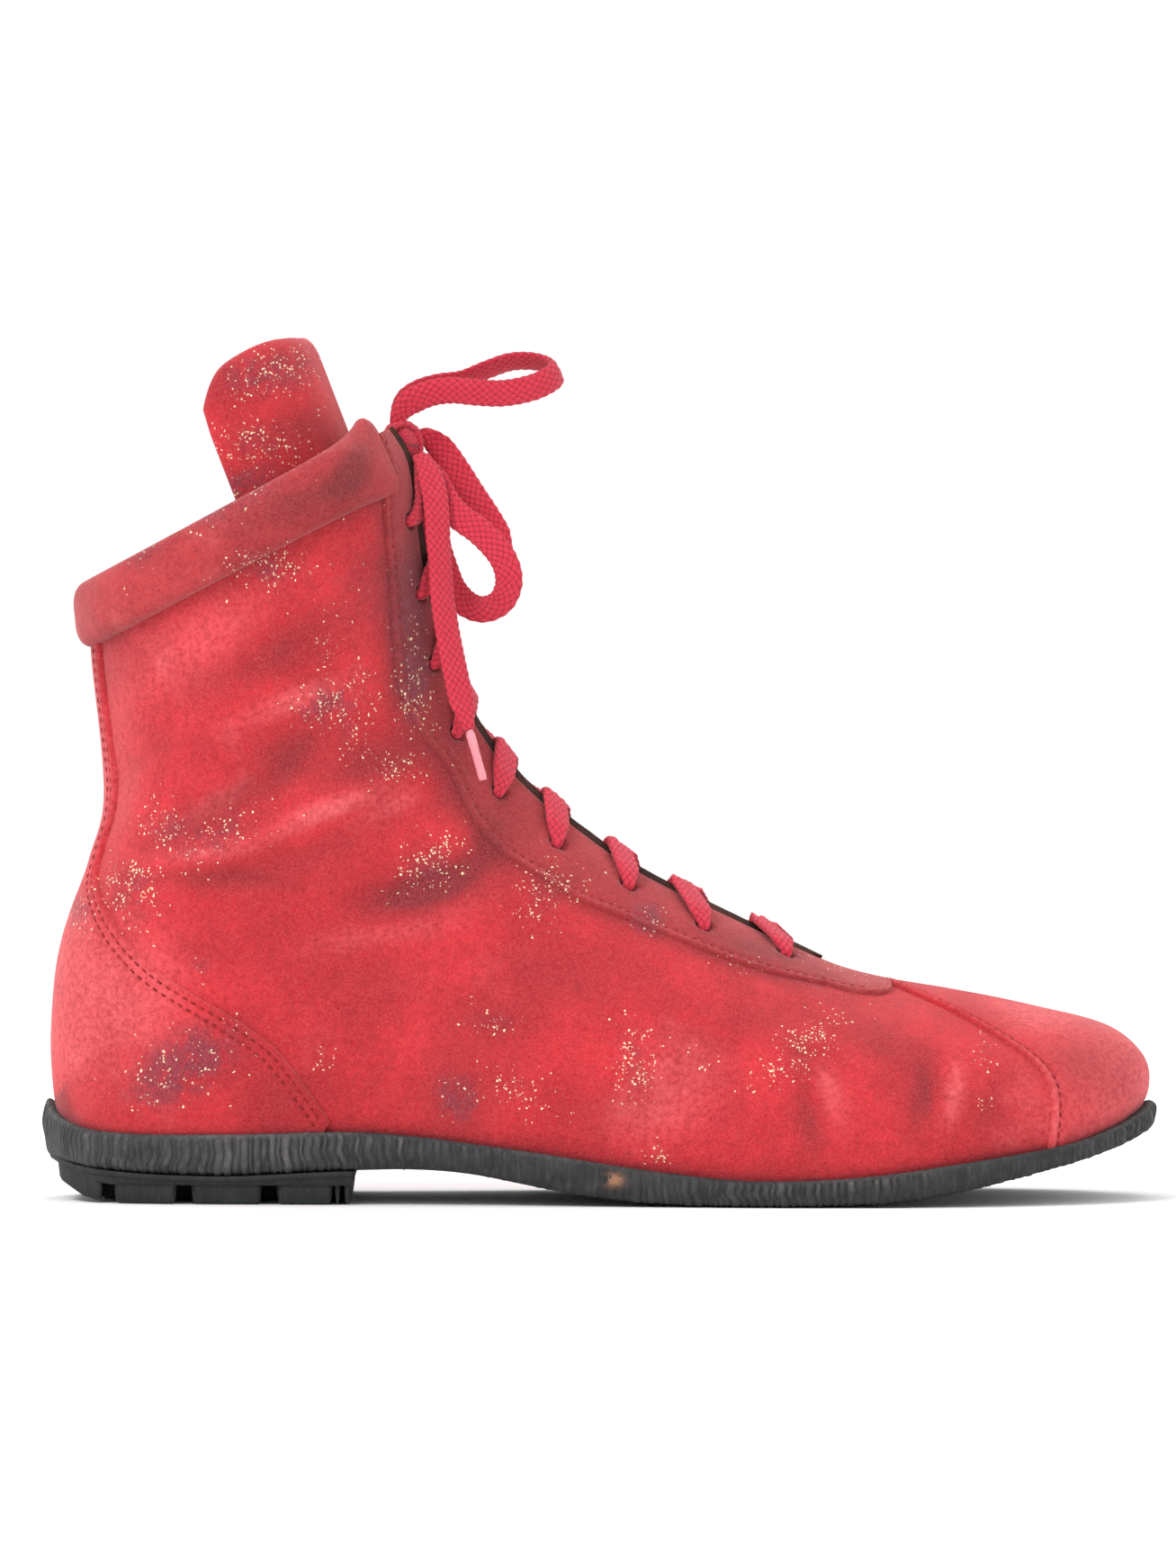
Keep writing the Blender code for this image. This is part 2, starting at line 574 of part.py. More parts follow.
# ---------------------------------------------------------------- tongue
def build_tongue(parts):
    suede, lining, foam = material("suede"), material("lining", 0.7), material("foam")
    columns = across_ridge(SEAM_COLUMN)
    rows = row_list(SLIT_ROW - 0.5, COLLAR_ROW + 1.35)
    face_in = TONGUE_DEPTH - TONGUE_FACE_THICK
    foam_depth = face_in - PANEL_GAP
    lining_depth = foam_depth - TONGUE_FOAM_THICK - 2 * PANEL_GAP
    panel("tongue_face", rows, [columns], TONGUE_DEPTH, TONGUE_FACE_THICK, parts, suede, TONGUE_SINK)
    panel("tongue_foam", rows, [columns], foam_depth, TONGUE_FOAM_THICK, parts, foam, TONGUE_SINK)
    panel("tongue_lining", rows, [columns], lining_depth, TONGUE_LINING_THICK, parts, lining, TONGUE_SINK)
    layers = (
        ("tongue_flap_face", 0.0, TONGUE_FACE_THICK, suede),
        ("tongue_flap_foam", -TONGUE_FACE_THICK - PANEL_GAP, TONGUE_FOAM_THICK, foam),
        (
            "tongue_flap_lining", -TONGUE_FACE_THICK - TONGUE_FOAM_THICK - 2 * PANEL_GAP,
            TONGUE_LINING_THICK, lining,
        ),
    )
    for name, depth, thickness, look in layers:
        flap_layer(name, depth, thickness, parts, look)


def flap_point(across, up, depth):
    """Outer surface of the tongue's free top: across -1 to 1, up 0 to 1."""
    angle = across * math.radians(88)
    low = HINGE_POINT[2] + 2.0 - 17.0 * across**2
    high = TONGUE_TOP - 15.0 * max(0.0, abs(across) - 0.35) ** 2 / 0.42
    z = low + (high - low) * up
    front = HINGE_POINT[0] - 0.5 - TONGUE_LEAN * (z - HINGE_POINT[2])
    wrap = TONGUE_WRAP + depth
    x = front - wrap * (1 - math.cos(angle)) + depth
    y = (TONGUE_REACH + depth) * math.sin(angle)
    return (x, y, z)


def flap_layer(name, depth, thickness, parts, look):
    shape = bmesh.new()
    rings = []
    steps_across, steps_up = 10, 4
    lines = [
        [
            shape.verts.new(vec(flap_point(2 * a / steps_across - 1, u / steps_up, depth)))
            for a in range(steps_across + 1)
        ]
        for u in range(steps_up + 1)
    ]
    for low, high in zip(lines, lines[1:]):
        for a, b, c, d in zip(low, low[1:], high[1:], high):
            rings.append(shape.faces.new((a, b, c, d)))
    shape.normal_update()
    if rings[len(rings) // 2].normal.x < 0:
        bmesh.ops.reverse_faces(shape, faces=shape.faces)
    mesh = bpy.data.meshes.new(name)
    shape.to_mesh(mesh)
    shape.free()
    piece = bpy.data.objects.new(name, mesh)
    parts.objects.link(piece)
    mesh.materials.append(look)
    mesh.shade_smooth()
    shell = piece.modifiers.new("thickness", "SOLIDIFY")
    shell.thickness = thickness * MM
    shell.offset = -1


# ---------------------------------------------------------------- padded collar
COLLAR_OUT = 4.2
COLLAR_IN = 7.4
COLLAR_SKIN = 1.0


def collar_stations():
    """Centre, outward and upward vectors of the collar roll, from lateral front to medial front."""
    columns = one_side(LATERAL, SEAM_COLUMN + 0.12, LAST_COLUMN)
    columns += list(reversed(one_side(MEDIAL, SEAM_COLUMN + 0.12, LAST_COLUMN)))[1:]
    rows = []
    for side, column in columns:
        low = node(side, COLLAR_ROW, column, 0.0)
        high = node(side, TOP_ROW, column, 0.0)
        out = node(side, COLLAR_ROW, column, 1.0) - low
        up = high - low
        out -= up * np.dot(out, up) / np.dot(up, up)
        out /= np.linalg.norm(out)
        rows.append((low, high, out))
    return rows


def collar_section(low, high, out, inset, angles):
    """Points of the roll's oval section; angle -90 degrees is its underside."""
    half = (high - low) / 2
    centre = (high + low) / 2
    lift = half / np.linalg.norm(half)
    tall = np.linalg.norm(half) - inset
    points = []
    for angle in angles:
        cosine, sine = math.cos(angle), math.sin(angle)
        reach = (COLLAR_OUT if cosine > 0 else COLLAR_IN) - inset
        fuller = [math.copysign(abs(value) ** 0.8, value) for value in (cosine, sine)]
        points.append(centre + out * reach * fuller[0] + lift * tall * fuller[1])
    return points


def build_collar(parts):
    stations = collar_stations()
    gap_angles = [math.radians(-62 + 304 * k / 9) for k in range(10)]
    shape = bmesh.new()
    lines = [
        [shape.verts.new(vec(p)) for p in collar_section(low, high, out, 0.2, gap_angles)]
        for low, high, out in stations
    ]
    for first, second in zip(lines, lines[1:]):
        for a, b, c, d in zip(first, first[1:], second[1:], second):
            shape.faces.new((a, b, c, d))
    bmesh.ops.recalc_face_normals(shape, faces=shape.faces)
    shape.normal_update()
    top = max(shape.faces, key=lambda face: face.calc_center_median().z)
    if top.normal.z < 0:
        bmesh.ops.reverse_faces(shape, faces=shape.faces)
    mesh = bpy.data.meshes.new("collar_cover")
    shape.to_mesh(mesh)
    shape.free()
    cover = bpy.data.objects.new("collar_cover", mesh)
    parts.objects.link(cover)
    mesh.materials.append(material("suede_worn"))
    mesh.shade_smooth()
    shell = cover.modifiers.new("thickness", "SOLIDIFY")
    shell.thickness = COLLAR_SKIN * MM
    shell.offset = -1

    ring_angles = [math.radians(-90 + 45 * k) for k in range(8)]
    inset = 0.2 + COLLAR_SKIN + 2 * PANEL_GAP
    shape = bmesh.new()
    rings = [
        [shape.verts.new(vec(p)) for p in collar_section(low, high, out, inset, ring_angles)]
        for low, high, out in stations
    ]
    join_rings(shape, rings)
    add_object("collar_foam", shape, parts, material("foam"))


def join_rings(shape, rings):
    """Skin between closed rings of vertices and cap both ends."""
    for first, second in zip(rings, rings[1:]):
        count = len(first)
        for k in range(count):
            shape.faces.new((first[k], first[(k + 1) % count], second[(k + 1) % count], second[k]))
    shape.faces.new(rings[0])
    shape.faces.new(list(reversed(rings[-1])))


# ---------------------------------------------------------------- sole
def sole_outline():
    """Lower edge of the upper as a closed loop, toe tip first, down the lateral side."""
    lateral = [GRID_POINTS[LATERAL, row, LAST_COLUMN] for row in range(0, HEEL_ROW + 1)]
    medial = [GRID_POINTS[MEDIAL, row, LAST_COLUMN] for row in range(1, HEEL_ROW)]
    return lateral + list(reversed(medial))


def outline_normals(loop):
    """Outward plan normals of the loop."""
    normals = []
    for k, _ in enumerate(loop):
        along = loop[(k + 1) % len(loop)] - loop[k - 1]
        normal = np.array([along[1], -along[0], 0.0])
        normals.append(normal / np.linalg.norm(normal))
    centre = sum(loop) / len(loop)
    if np.dot(normals[len(loop) // 4], loop[len(loop) // 4] - centre) < 0:
        normals = [-normal for normal in normals]
    return normals


def wall_offsets(loop, normals):
    """How far out the wall's inner face stands at each point, clear of the overlays beside it."""
    outer = []
    for side in (LATERAL, MEDIAL):
        for row in np.arange(0, HEEL_ROW + 3, 0.25):
            for column in np.arange(4 if row < 3 else 9, LAST_COLUMN + 0.1, 0.25):
                outer.append(node(side, float(row), float(column), OVERLAY_DEPTH))
    offsets = []
    for point, normal in zip(loop, normals):
        tangent = np.array([-normal[1], normal[0], 0.0])
        reach = OVERLAY_DEPTH
        for place in outer:
            away = place - point
            beside = abs(np.dot(away, tangent)) < 9.0 and abs(away[2]) < LIP_HEIGHT + 0.4
            if beside and np.linalg.norm(away) < 12:
                reach = max(reach, float(np.dot(away, normal)))
        offsets.append(reach + WALL_CLEARANCE)
    count = len(offsets)
    return [max(offsets[k], (offsets[k - 1] + offsets[(k + 1) % count]) / 2) for k in range(count)]


SOLE_LOOP = sole_outline()
SOLE_NORMALS = outline_normals(SOLE_LOOP)
WALL_OFFSETS = wall_offsets(SOLE_LOOP, SOLE_NORMALS)


def sole_ring(offset, height, follow=0.0):
    """Ring round the sole, offset out from the upper's edge; follow adds the wall's own offsets."""
    ring = []
    for point, normal, wall in zip(SOLE_LOOP, SOLE_NORMALS, WALL_OFFSETS):
        place = point + normal * (offset + wall * follow)
        ring.append(np.array([place[0], place[1], height(point)]))
    return ring


def floor_height(point):
    return min(height_on(WALL_FOOT, point[0]) + FLOOR_THICK, point[2] - PANEL_GAP)


def slab_faces(count):
    """Faces across a sole-shaped ring, pairing each lateral point with its medial twin."""
    half = count // 2
    faces = [(0, 1, count - 1)]
    for k in range(1, half):
        faces.append((k, k + 1, (count - k - 1) % count, (count - k) % count))
    return faces


def ring_solid(name, rings, parts, look):
    """Closed solid through a stack of sole-shaped rings, flat across the first and the last."""
    shape = bmesh.new()
    verts = [[shape.verts.new(vec(point)) for point in ring] for ring in rings]
    count = len(verts[0])
    for first, second in zip(verts, verts[1:]):
        for k in range(count):
            shape.faces.new((first[k], first[(k + 1) % count], second[(k + 1) % count], second[k]))
    add_faces(shape, verts[0], slab_faces(count))
    add_faces(shape, verts[-1], slab_faces(count))
    return add_object(name, shape, parts, look)


def build_sole(parts, cutters):
    rubber = material("rubber", 0.75)
    rings = [
        sole_ring(WALL_THICK - FOOT_INSET, lambda point: height_on(WALL_FOOT, point[0]), 1),
        sole_ring(WALL_THICK - 0.4, lambda point: height_on(WALL_FOOT, point[0]) + 1.4, 1),
        sole_ring(WALL_THICK, lambda point: point[2] + LIP_HEIGHT - 0.8, 1),
        sole_ring(WALL_THICK - 0.6, lambda point: point[2] + LIP_HEIGHT, 1),
        sole_ring(0, lambda point: point[2] + LIP_HEIGHT, 1),
        sole_ring(0, floor_height, 1),
    ]
    ring_solid("outsole", rings, parts, rubber)
    build_heel_block(parts, cutters, rubber)
    build_insoles(parts)


def heel_half_widths(x, offset):
    """Lateral and medial y of the sole loop at x, pushed out by offset."""
    widths = []
    for rows in (SOLE_LOOP[: HEEL_ROW + 1], [SOLE_LOOP[0]] + SOLE_LOOP[: HEEL_ROW - 1 : -1]):
        order = sorted((point[0], point[1]) for point in rows)
        widths.append(float(np.interp(x, *zip(*order))))
    return widths[0] - offset, widths[1] + offset


def build_heel_block(parts, cutters, look):
    """A separate rubber heel under the wall, its sides cut into four lugs."""
    rear = -146.2
    count = 9
    shape = bmesh.new()
    tops, feet = [], []
    for k in range(count):
        x = HEEL_FRONT + (rear - HEEL_FRONT) * math.sin(math.radians(90 * k / (count - 1)))
        inset = -1.6
        low, high = heel_half_widths(max(x, -144.6), -inset - 1.2)
        for level, line in ((0, feet), (1, tops)):
            lean = 0.0 if level else 1.4
            rear_gap = 0.12 * max(0.0, -138 - x)
            z = height_on(WALL_FOOT, x) - PANEL_GAP - rear_gap if level else height_on(HEEL_REAR, x)
            line.append([shape.verts.new(vec((x, low + lean, z))), shape.verts.new(vec((x, high - lean, z)))])
    for line in (tops, feet):
        for first, second in zip(line, line[1:]):
            shape.faces.new((first[0], first[1], second[1], second[0]))
    for k in range(2):
        for j in range(count - 1):
            shape.faces.new((tops[j][k], tops[j + 1][k], feet[j + 1][k], feet[j][k]))
    for j in (0, count - 1):
        shape.faces.new((tops[j][0], tops[j][1], feet[j][1], feet[j][0]))
    heel = add_object("heel_block", shape, parts, look)
    for number, (start, end) in enumerate(LUG_GROOVES):
        for side, hand in ((-1, "lateral"), (1, "medial")):
            bpy.ops.mesh.primitive_cube_add(
                size=1,
                location=vec(((start + end) / 2, side * (LUG_WEB + 30), LUG_HEIGHT - 10)),
                scale=vec((end - start, 60, 20)),
            )
            groove = bpy.context.object
            groove.name = f"lug_groove_{number + 1}_{hand}"
            groove.hide_render = True
            groove.display_type = "WIRE"
            for collection in list(groove.users_collection):
                collection.objects.unlink(groove)
            cutters.objects.link(groove)
            cut = heel.modifiers.new(groove.name, "BOOLEAN")
            cut.operation = "DIFFERENCE"
            cut.object = groove


def build_insoles(parts):
    board, foam = material("board"), material("foam")
    ring_solid(
        "insole_board",
        [sole_ring(-4.9, lambda point: point[2] + 0.2), sole_ring(-4.9, lambda point: point[2] + 1.7)],
        parts, board,
    )
    ring_solid(
        "footbed",
        [
            sole_ring(-5.5, lambda point: point[2] + 2.0),
            sole_ring(-5.3, lambda point: point[2] + 3.4),
            sole_ring(-6.2, lambda point: point[2] + 4.8),
        ],
        parts, foam,
    )
    strip_block(
        "heel_wedge", -136, -52, 22.0, lambda x: height_on(WALL_FOOT, x) + FLOOR_THICK + PANEL_GAP,
        lambda x: edge_height(x) - 1.8, parts, foam,
    )
    strip_block(
        "shank", -84, -22, 7.0, lambda x: edge_height(x) - 1.4, lambda x: edge_height(x) - 0.2,
        parts, material("steel", 0.35, 1.0),
    )


def edge_height(x):
    """Height of the upper's lower edge at x."""
    order = sorted((point[0], point[2]) for point in SOLE_LOOP[: HEEL_ROW + 1])
    return float(np.interp(x, *zip(*order)))


def strip_block(name, start, end, half_width, low, high, parts, look):
    """A flat strip along X whose faces follow two height functions."""
    shape = bmesh.new()
    rings = []
    steps = 6
    for k in range(steps + 1):
        x = start + (end - start) * k / steps
        corners = [(-half_width, low(x)), (half_width, low(x)), (half_width, high(x)), (-half_width, high(x))]
        rings.append([shape.verts.new(vec((x, y, z))) for y, z in corners])
    join_rings(shape, rings)
    add_object(name, shape, parts, look)


# ---------------------------------------------------------------- laces
def ribbon(name, points, sides, widths, thickness, parts, look):
    """A flat strap swept along points; sides are the directions of its breadth."""
    shape = bmesh.new()
    rings = []
    for k, point in enumerate(points):
        ahead = points[min(k + 1, len(points) - 1)]
        behind = points[max(k - 1, 0)]
        tangent = (ahead - behind) / np.linalg.norm(ahead - behind)
        side = sides[k] - tangent * np.dot(sides[k], tangent)
        side /= np.linalg.norm(side)
        normal = np.cross(tangent, side)
        half, thin = widths[k] / 2, thickness / 2
        corners = [side * half + normal * thin, -side * half + normal * thin]
        corners += [-side * half - normal * thin, side * half - normal * thin]
        rings.append([shape.verts.new(vec(point + corner)) for corner in corners])
    join_rings(shape, rings)
    return add_object(name, shape, parts, look)


def strand_points(index, side, following):
    """Lace from outside one eyelet, over its edge, under the other side and up through the next."""
    t, y = EYELET_PLACES[index, side]
    t_next, y_next = EYELET_PLACES[following, -side]
    edge, edge_next = slit_half_width(t), slit_half_width(t_next)
    ridge = station(t).ridge
    near, far = side * edge, -side * edge_next
    if side == LATERAL:
        dive = [(0.80, 1.9, 0.9), (0.60, -1.7, 0.75), (0.35, -3.5, 0.7), (0.0, -3.6, 0.7)]
    else:
        dive = [(0.80, 2.7, 0.9), (0.60, 1.4, 0.75), (0.35, 0.0, 0.7), (0.0, -0.8, 0.7)]
    rise = -3.5 if side == LATERAL else -0.9
    stops = [(y + (ridge - y) * 0.16, LACE_OVER + 0.1, 0.6), (ridge + near - side * 0.7, LACE_OVER, 1.0)]
    stops += [(ridge + near * share, depth, width) for share, depth, width in dive]
    stops += [
        (ridge + far * 0.5, rise, 0.75),
        (ridge + far * 0.8, (rise + LACE_UNDER) / 2, 0.9),
        (ridge + far - side * 1.0, LACE_UNDER, 1.0),
        (y_next + (ridge - y_next) * 0.16, LACE_UNDER, 0.6),
    ]
    narrow = min(1.0, ((edge + edge_next) / 2 / 8.8) ** 2)
    route = []
    for place, (breadth, depth, share) in enumerate(stops):
        f = (breadth - y) / (y_next - y)
        point, _, along = ridge_frame(t + (t_next - t) * f, breadth, depth)
        width = LACE_HOLE_WIDTH + (LACE_WIDTH - LACE_HOLE_WIDTH) * (share - 0.5) * 2
        route.append((point, along, width * (narrow if 1 < place < 8 else 1.0)))
    return route


def through_eyelet(index, side):
    """Lace on its way up through an eyelet, from behind the facing."""
    t, y = EYELET_PLACES[index, side]
    return [(*ridge_frame(t, y, depth)[::2], LACE_HOLE_WIDTH) for depth in (-2.0, -0.6, 0.8, 2.1)]


def laced_route():
    """The whole laced stretch, from the knot down one strand, across the bar and up the other."""
    last = len(EYELETS) - 1

    def climb(first_side):
        """One strand from its lowest eyelet up to the top one."""
        route, side = [], first_side
        for index in range(last, 0, -1):
            route += through_eyelet(index, side) + strand_points(index, side, index - 1)
            side = -side
        route += through_eyelet(0, side) + to_knot(side)
        return route

    lateral, medial = climb(LATERAL), climb(MEDIAL)
    bar = []
    t, y = EYELET_PLACES[last, LATERAL]
    for share in (0.25, 0.5, 0.75):
        other = EYELET_PLACES[last, MEDIAL][1]
        point, _, along = ridge_frame(t, y + (other - y) * share, LACE_UNDER - 0.4)
        bar.append((point, along, 4.0))
    return list(reversed(lateral)) + bar + medial


def to_knot(side):
    """Lace from the top eyelet over the edge to the side of the knot."""
    t, y = EYELET_PLACES[0, side]
    edge = slit_half_width(t)
    route = []
    for breadth, climb, depth, width in ((0.84, 0.12, LACE_OVER, 4.4), (0.66, 0.6, LACE_OVER, 5.0)):
        point, _, along = ridge_frame(t + climb, y * breadth, depth)
        route.append((point, along, width))
    point, _, along = ridge_frame(t + 1.45, side * edge * 0.68, 1.8)
    route.append((point, along, 4.0))
    centre = np.array(KNOT_CENTRE)
    near = centre + np.array([-0.6, side * (KNOT_RADII[1] * 0.62), -KNOT_RADII[2] - 0.6])
    route.append((near, along, 3.0))
    return route


def smooth_route(route, spacing):
    """Points read every few millimetres from a smooth curve through the route."""
    fine = [spline(route, k / 12) for k in range((len(route) - 1) * 12 + 1)]
    length = sum(np.linalg.norm(b - a) for a, b in zip(fine, fine[1:]))
    count = max(4, round(length / spacing))
    travelled = np.concatenate([[0], np.cumsum([np.linalg.norm(b - a) for a, b in zip(fine, fine[1:])])])
    shares = np.linspace(0, travelled[-1], count + 1)
    columns = [[p[axis] for p in fine] for axis in range(3)]
    return [np.array([np.interp(share, travelled, column) for column in columns]) for share in shares]


def carried_sides(points, first, twist_table):
    """Breadth directions carried along a route without spin, then turned by the twist table."""
    side = Vector(first)
    last = len(points) - 1
    tangents = [
        Vector(points[min(k + 1, last)] - points[max(k - 1, 0)]).normalized() for k in range(len(points))
    ]
    side = (side - tangents[0] * side.dot(tangents[0])).normalized()
    sides = []
    for k, tangent in enumerate(tangents):
        if k:
            side = tangents[k - 1].rotation_difference(tangent) @ side
        share = k / (len(points) - 1)
        twist = math.radians(float(np.interp(share, *zip(*twist_table))))
        sides.append(np.array(Quaternion(tangent, twist) @ side))
    return sides


def free_ribbon(name, route, first, twist_table, parts, look, width=LACE_WIDTH):
    points = smooth_route(route, 4.0)
    sides = carried_sides(points, first, twist_table)
    count = len(points) - 1
    widths = [width * min(1.0, 0.55 + 0.45 * min(k, count - k) / 2) for k in range(count + 1)]
    ribbon(name, points, sides, widths, LACE_THICK, parts, look)
    return points


def build_laces(parts):
    look = material("lace", 0.85)
    points, sides, widths = zip(*laced_route())
    ribbon("lace_laced", list(points), list(sides), list(widths), LACE_THICK, parts, look)

    shape = bmesh.new()
    bmesh.ops.create_uvsphere(shape, u_segments=12, v_segments=8, radius=1.0)
    for vert in shape.verts:
        place = [at + radius * value for at, radius, value in zip(KNOT_CENTRE, KNOT_RADII, vert.co)]
        vert.co = vec(place)
    add_object("lace_knot", shape, parts, look)

    free_ribbon("bow_loop_upper", UPPER_LOOP, (1, 0, 0), [(0, 0), (1, 0)], parts, look)
    free_ribbon(
        "bow_loop_lower", LOWER_LOOP, (0.7, 0, 0.7), [(0, 0), (0.5, 0), (0.75, 70), (0.92, 80), (1, 60)],
        parts, look,
    )
    ends = {
        "lateral": (LATERAL_END, (1, 0, 0.4), [(0, -20), (0.4, -40), (1, -30)]),
        "medial": (MEDIAL_END, (0, 0, 1), [(0, 0), (1, 0)]),
    }
    for word, (route, first, twist) in ends.items():
        points = free_ribbon(f"lace_end_{word}", route, first, twist, parts, look)
        build_aglet(word, points[-1], parts)


def build_aglet(word, tip, parts):
    """Plastic sheath on a lace end, clear of the strap's last face."""
    direction = np.array(AGLET_DIRECTIONS[word])
    direction /= np.linalg.norm(direction)
    start = tip + direction * (PANEL_GAP + 0.35)
    shape = bmesh.new()
    turn = Vector((0, 0, 1)).rotation_difference(Vector(direction)).to_matrix().to_4x4()
    turn.translation = vec(start + direction * AGLET_LENGTH / 2)
    bmesh.ops.create_cone(
        shape, cap_ends=True, segments=10, radius1=AGLET_RADIUS * MM, radius2=AGLET_RADIUS * MM,
        depth=AGLET_LENGTH * MM, matrix=turn,
    )
    add_object(f"aglet_{word}", shape, parts, material("aglet", 0.3))


# ---------------------------------------------------------------- assembly
def new_collection(name):
    made = bpy.data.collections.new(name)
    bpy.context.scene.collection.children.link(made)
    return made


def main():
    for item in list(bpy.data.objects):
        bpy.data.objects.remove(item)
    parts, cutters = new_collection("boxing_boot"), new_collection("cutters")
    build_upper(parts, cutters)
    build_tongue(parts)
    build_collar(parts)
    build_sole(parts, cutters)
    build_laces(parts)


main()
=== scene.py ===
import math

import bmesh
import bpy
import numpy as np
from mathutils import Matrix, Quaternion, Vector, noise


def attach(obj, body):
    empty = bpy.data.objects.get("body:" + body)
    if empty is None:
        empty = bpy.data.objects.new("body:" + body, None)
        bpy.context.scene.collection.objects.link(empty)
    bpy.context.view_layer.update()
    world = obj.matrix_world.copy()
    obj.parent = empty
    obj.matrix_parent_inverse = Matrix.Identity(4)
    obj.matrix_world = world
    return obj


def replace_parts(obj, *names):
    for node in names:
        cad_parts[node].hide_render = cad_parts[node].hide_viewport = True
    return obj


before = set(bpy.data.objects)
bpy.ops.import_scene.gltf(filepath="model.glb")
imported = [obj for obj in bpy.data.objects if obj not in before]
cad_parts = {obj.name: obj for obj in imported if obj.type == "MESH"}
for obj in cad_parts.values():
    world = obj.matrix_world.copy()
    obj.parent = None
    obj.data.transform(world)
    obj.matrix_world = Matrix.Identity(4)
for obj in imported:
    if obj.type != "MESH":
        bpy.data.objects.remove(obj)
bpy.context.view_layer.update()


def detail(coarse, fine):
    return fine


MM = 0.001
LATERAL, MEDIAL = -1, 1
SIDES = ((LATERAL, "lateral"), (MEDIAL, "medial"))
FLAP, BOOT = "tongue_flap", "boot"
dice = np.random.default_rng(7)

# ---------------------------------------------------------------- dimensions, mm
OVERLAY = 1.5            # face of the overlays above the base suede
TOE_SEAM_LOW, TOE_SEAM_TOP, TOE_SEAM_BEND = 4.2, 6.9, 5
SLIT_END = 8.0
LACE_WIDTH, LACE_THICK, LACED_THICK = 7.4, 1.8, 2.3
BRAID_PITCH, BRAID_BREADTH = 2.3, 3.8     # the braid's diamonds, along and across
LIP_HEIGHT = 3.4         # the sole's wall above the upper's lower edge
RIB_PITCH, RIB_DEPTH, RIB_GROOVE = 1.9, 0.95, 0.34
STITCH_PITCH, STITCH_LENGTH, STITCH_RADIUS = 2.7, 1.9, 0.26
HINGE = Vector((-0.066, 0.0, 0.200))
TONGUE_TOP, TONGUE_LEAN, TONGUE_WRAP, TONGUE_REACH = 233.0, 0.385, 42.0, 30.0

# Fan sections of the upper: top x, z of the front ridge; x, z of the lower or back edge; the
# ridge's y; reach to the lateral and the medial side; turn in degrees; power of the ridge.
STATIONS = np.array([
    (144.6, 22.6, 144.6, 22.6, 5.0, -5.0, 5.0, 105, 0.9),
    (147.9, 29.5, 143.2, 20.9, 5.0, 6.0, 16.0, 105, 0.9),
    (147.0, 37.0, 138.6, 18.0, 5.0, 16.0, 24.5, 105, 0.9),
    (140.0, 43.8, 131.5, 14.9, 5.0, 25.5, 32.5, 105, 0.9),
    (128.0, 48.2, 122.5, 12.2, 4.5, 34.0, 39.5, 105, 0.95),
    (110.5, 51.8, 108.0, 9.6, 4.0, 41.5, 45.0, 105, 1.0),
    (93.0, 55.6, 93.0, 7.3, 4.0, 46.0, 48.0, 105, 1.0),
    (76.5, 58.3, 76.0, 4.9, 3.5, 48.5, 49.0, 105, 1.05),
    (62.0, 62.3, 58.0, 3.5, 3.5, 49.0, 48.5, 105, 1.1),
    (48.0, 69.0, 37.0, 3.5, 3.0, 48.0, 46.0, 106, 1.1),
    (31.0, 77.5, 10.0, 6.4, 3.0, 45.0, 41.0, 108, 1.1),
    (12.0, 88.0, -22.0, 11.2, 2.5, 41.5, 37.0, 113, 1.15),
    (-8.0, 103.0, -60.0, 15.5, 2.0, 39.0, 35.5, 119, 1.2),
    (-22.5, 117.0, -98.0, 14.9, 1.5, 38.0, 36.0, 124, 1.2),
    (-32.5, 130.0, -126.0, 15.0, 1.0, 38.0, 37.0, 135, 1.1),
    (-38.5, 139.5, -140.0, 17.3, 0.5, 38.0, 37.5, 155, 1.0),
    (-42.0, 147.5, -145.3, 23.6, 0.0, 38.0, 38.0, 180, 1.0),
    (-44.5, 159.0, -147.0, 46.0, 0.0, 38.5, 38.0, 180, 1.0),
    (-46.6, 169.5, -144.2, 69.0, 0.0, 38.5, 38.0, 180, 1.0),
    (-48.3, 179.0, -137.0, 91.0, 0.0, 39.0, 38.5, 180, 1.0),
    (-49.6, 187.5, -132.8, 110.0, 0.0, 39.5, 39.0, 180, 1.0),
    (-50.6, 194.5, -136.2, 149.5, 0.0, 40.0, 40.0, 180, 1.0),
    (-52.6, 201.5, -136.0, 157.5, 0.0, 40.5, 40.5, 180, 1.0),
    (-57.0, 208.0, -137.5, 165.0, 0.0, 40.5, 40.5, 180, 1.0),
])
EYESTAY_SEAM = [
    (80, 58), (67, 57), (55, 59), (40, 63), (23, 69.5), (8.5, 75.5), (-6, 81.5), (-16, 87.5),
    (-25.5, 93.7), (-33, 102), (-40, 115.5), (-47.6, 125.5), (-53.5, 137.5), (-55, 150),
    (-56.8, 169), (-58.3, 186.5), (-57.6, 197), (-60, 206), (-64, 213),
]
COUNTER_SEAM = [
    (-67, 12), (-70.5, 19.5), (-78, 31), (-86.6, 42), (-98.5, 50.5), (-109.5, 57), (-120, 64),
    (-129, 74), (-134.5, 86), (-133, 95), (-130.4, 104), (-130, 115), (-133.2, 140),
    (-134, 152), (-137, 170),
]
SLIT_HALF_WIDTHS = [0.0, 4.6, 6.6, 7.6, 8.2, 8.5, 8.5, 8.5, 8.7, 8.8, 9.0, 9.0, 9.0, 9.0, 8.5, 8.0]
EYELETS = [
    (-52.3, 183.0), (-49.3, 163.3), (-45.6, 144.3), (-39.3, 125.8), (-27.6, 109.6),
    (-11.6, 95.6), (7.4, 84.2), (28.0, 72.9), (50.0, 65.2),
]
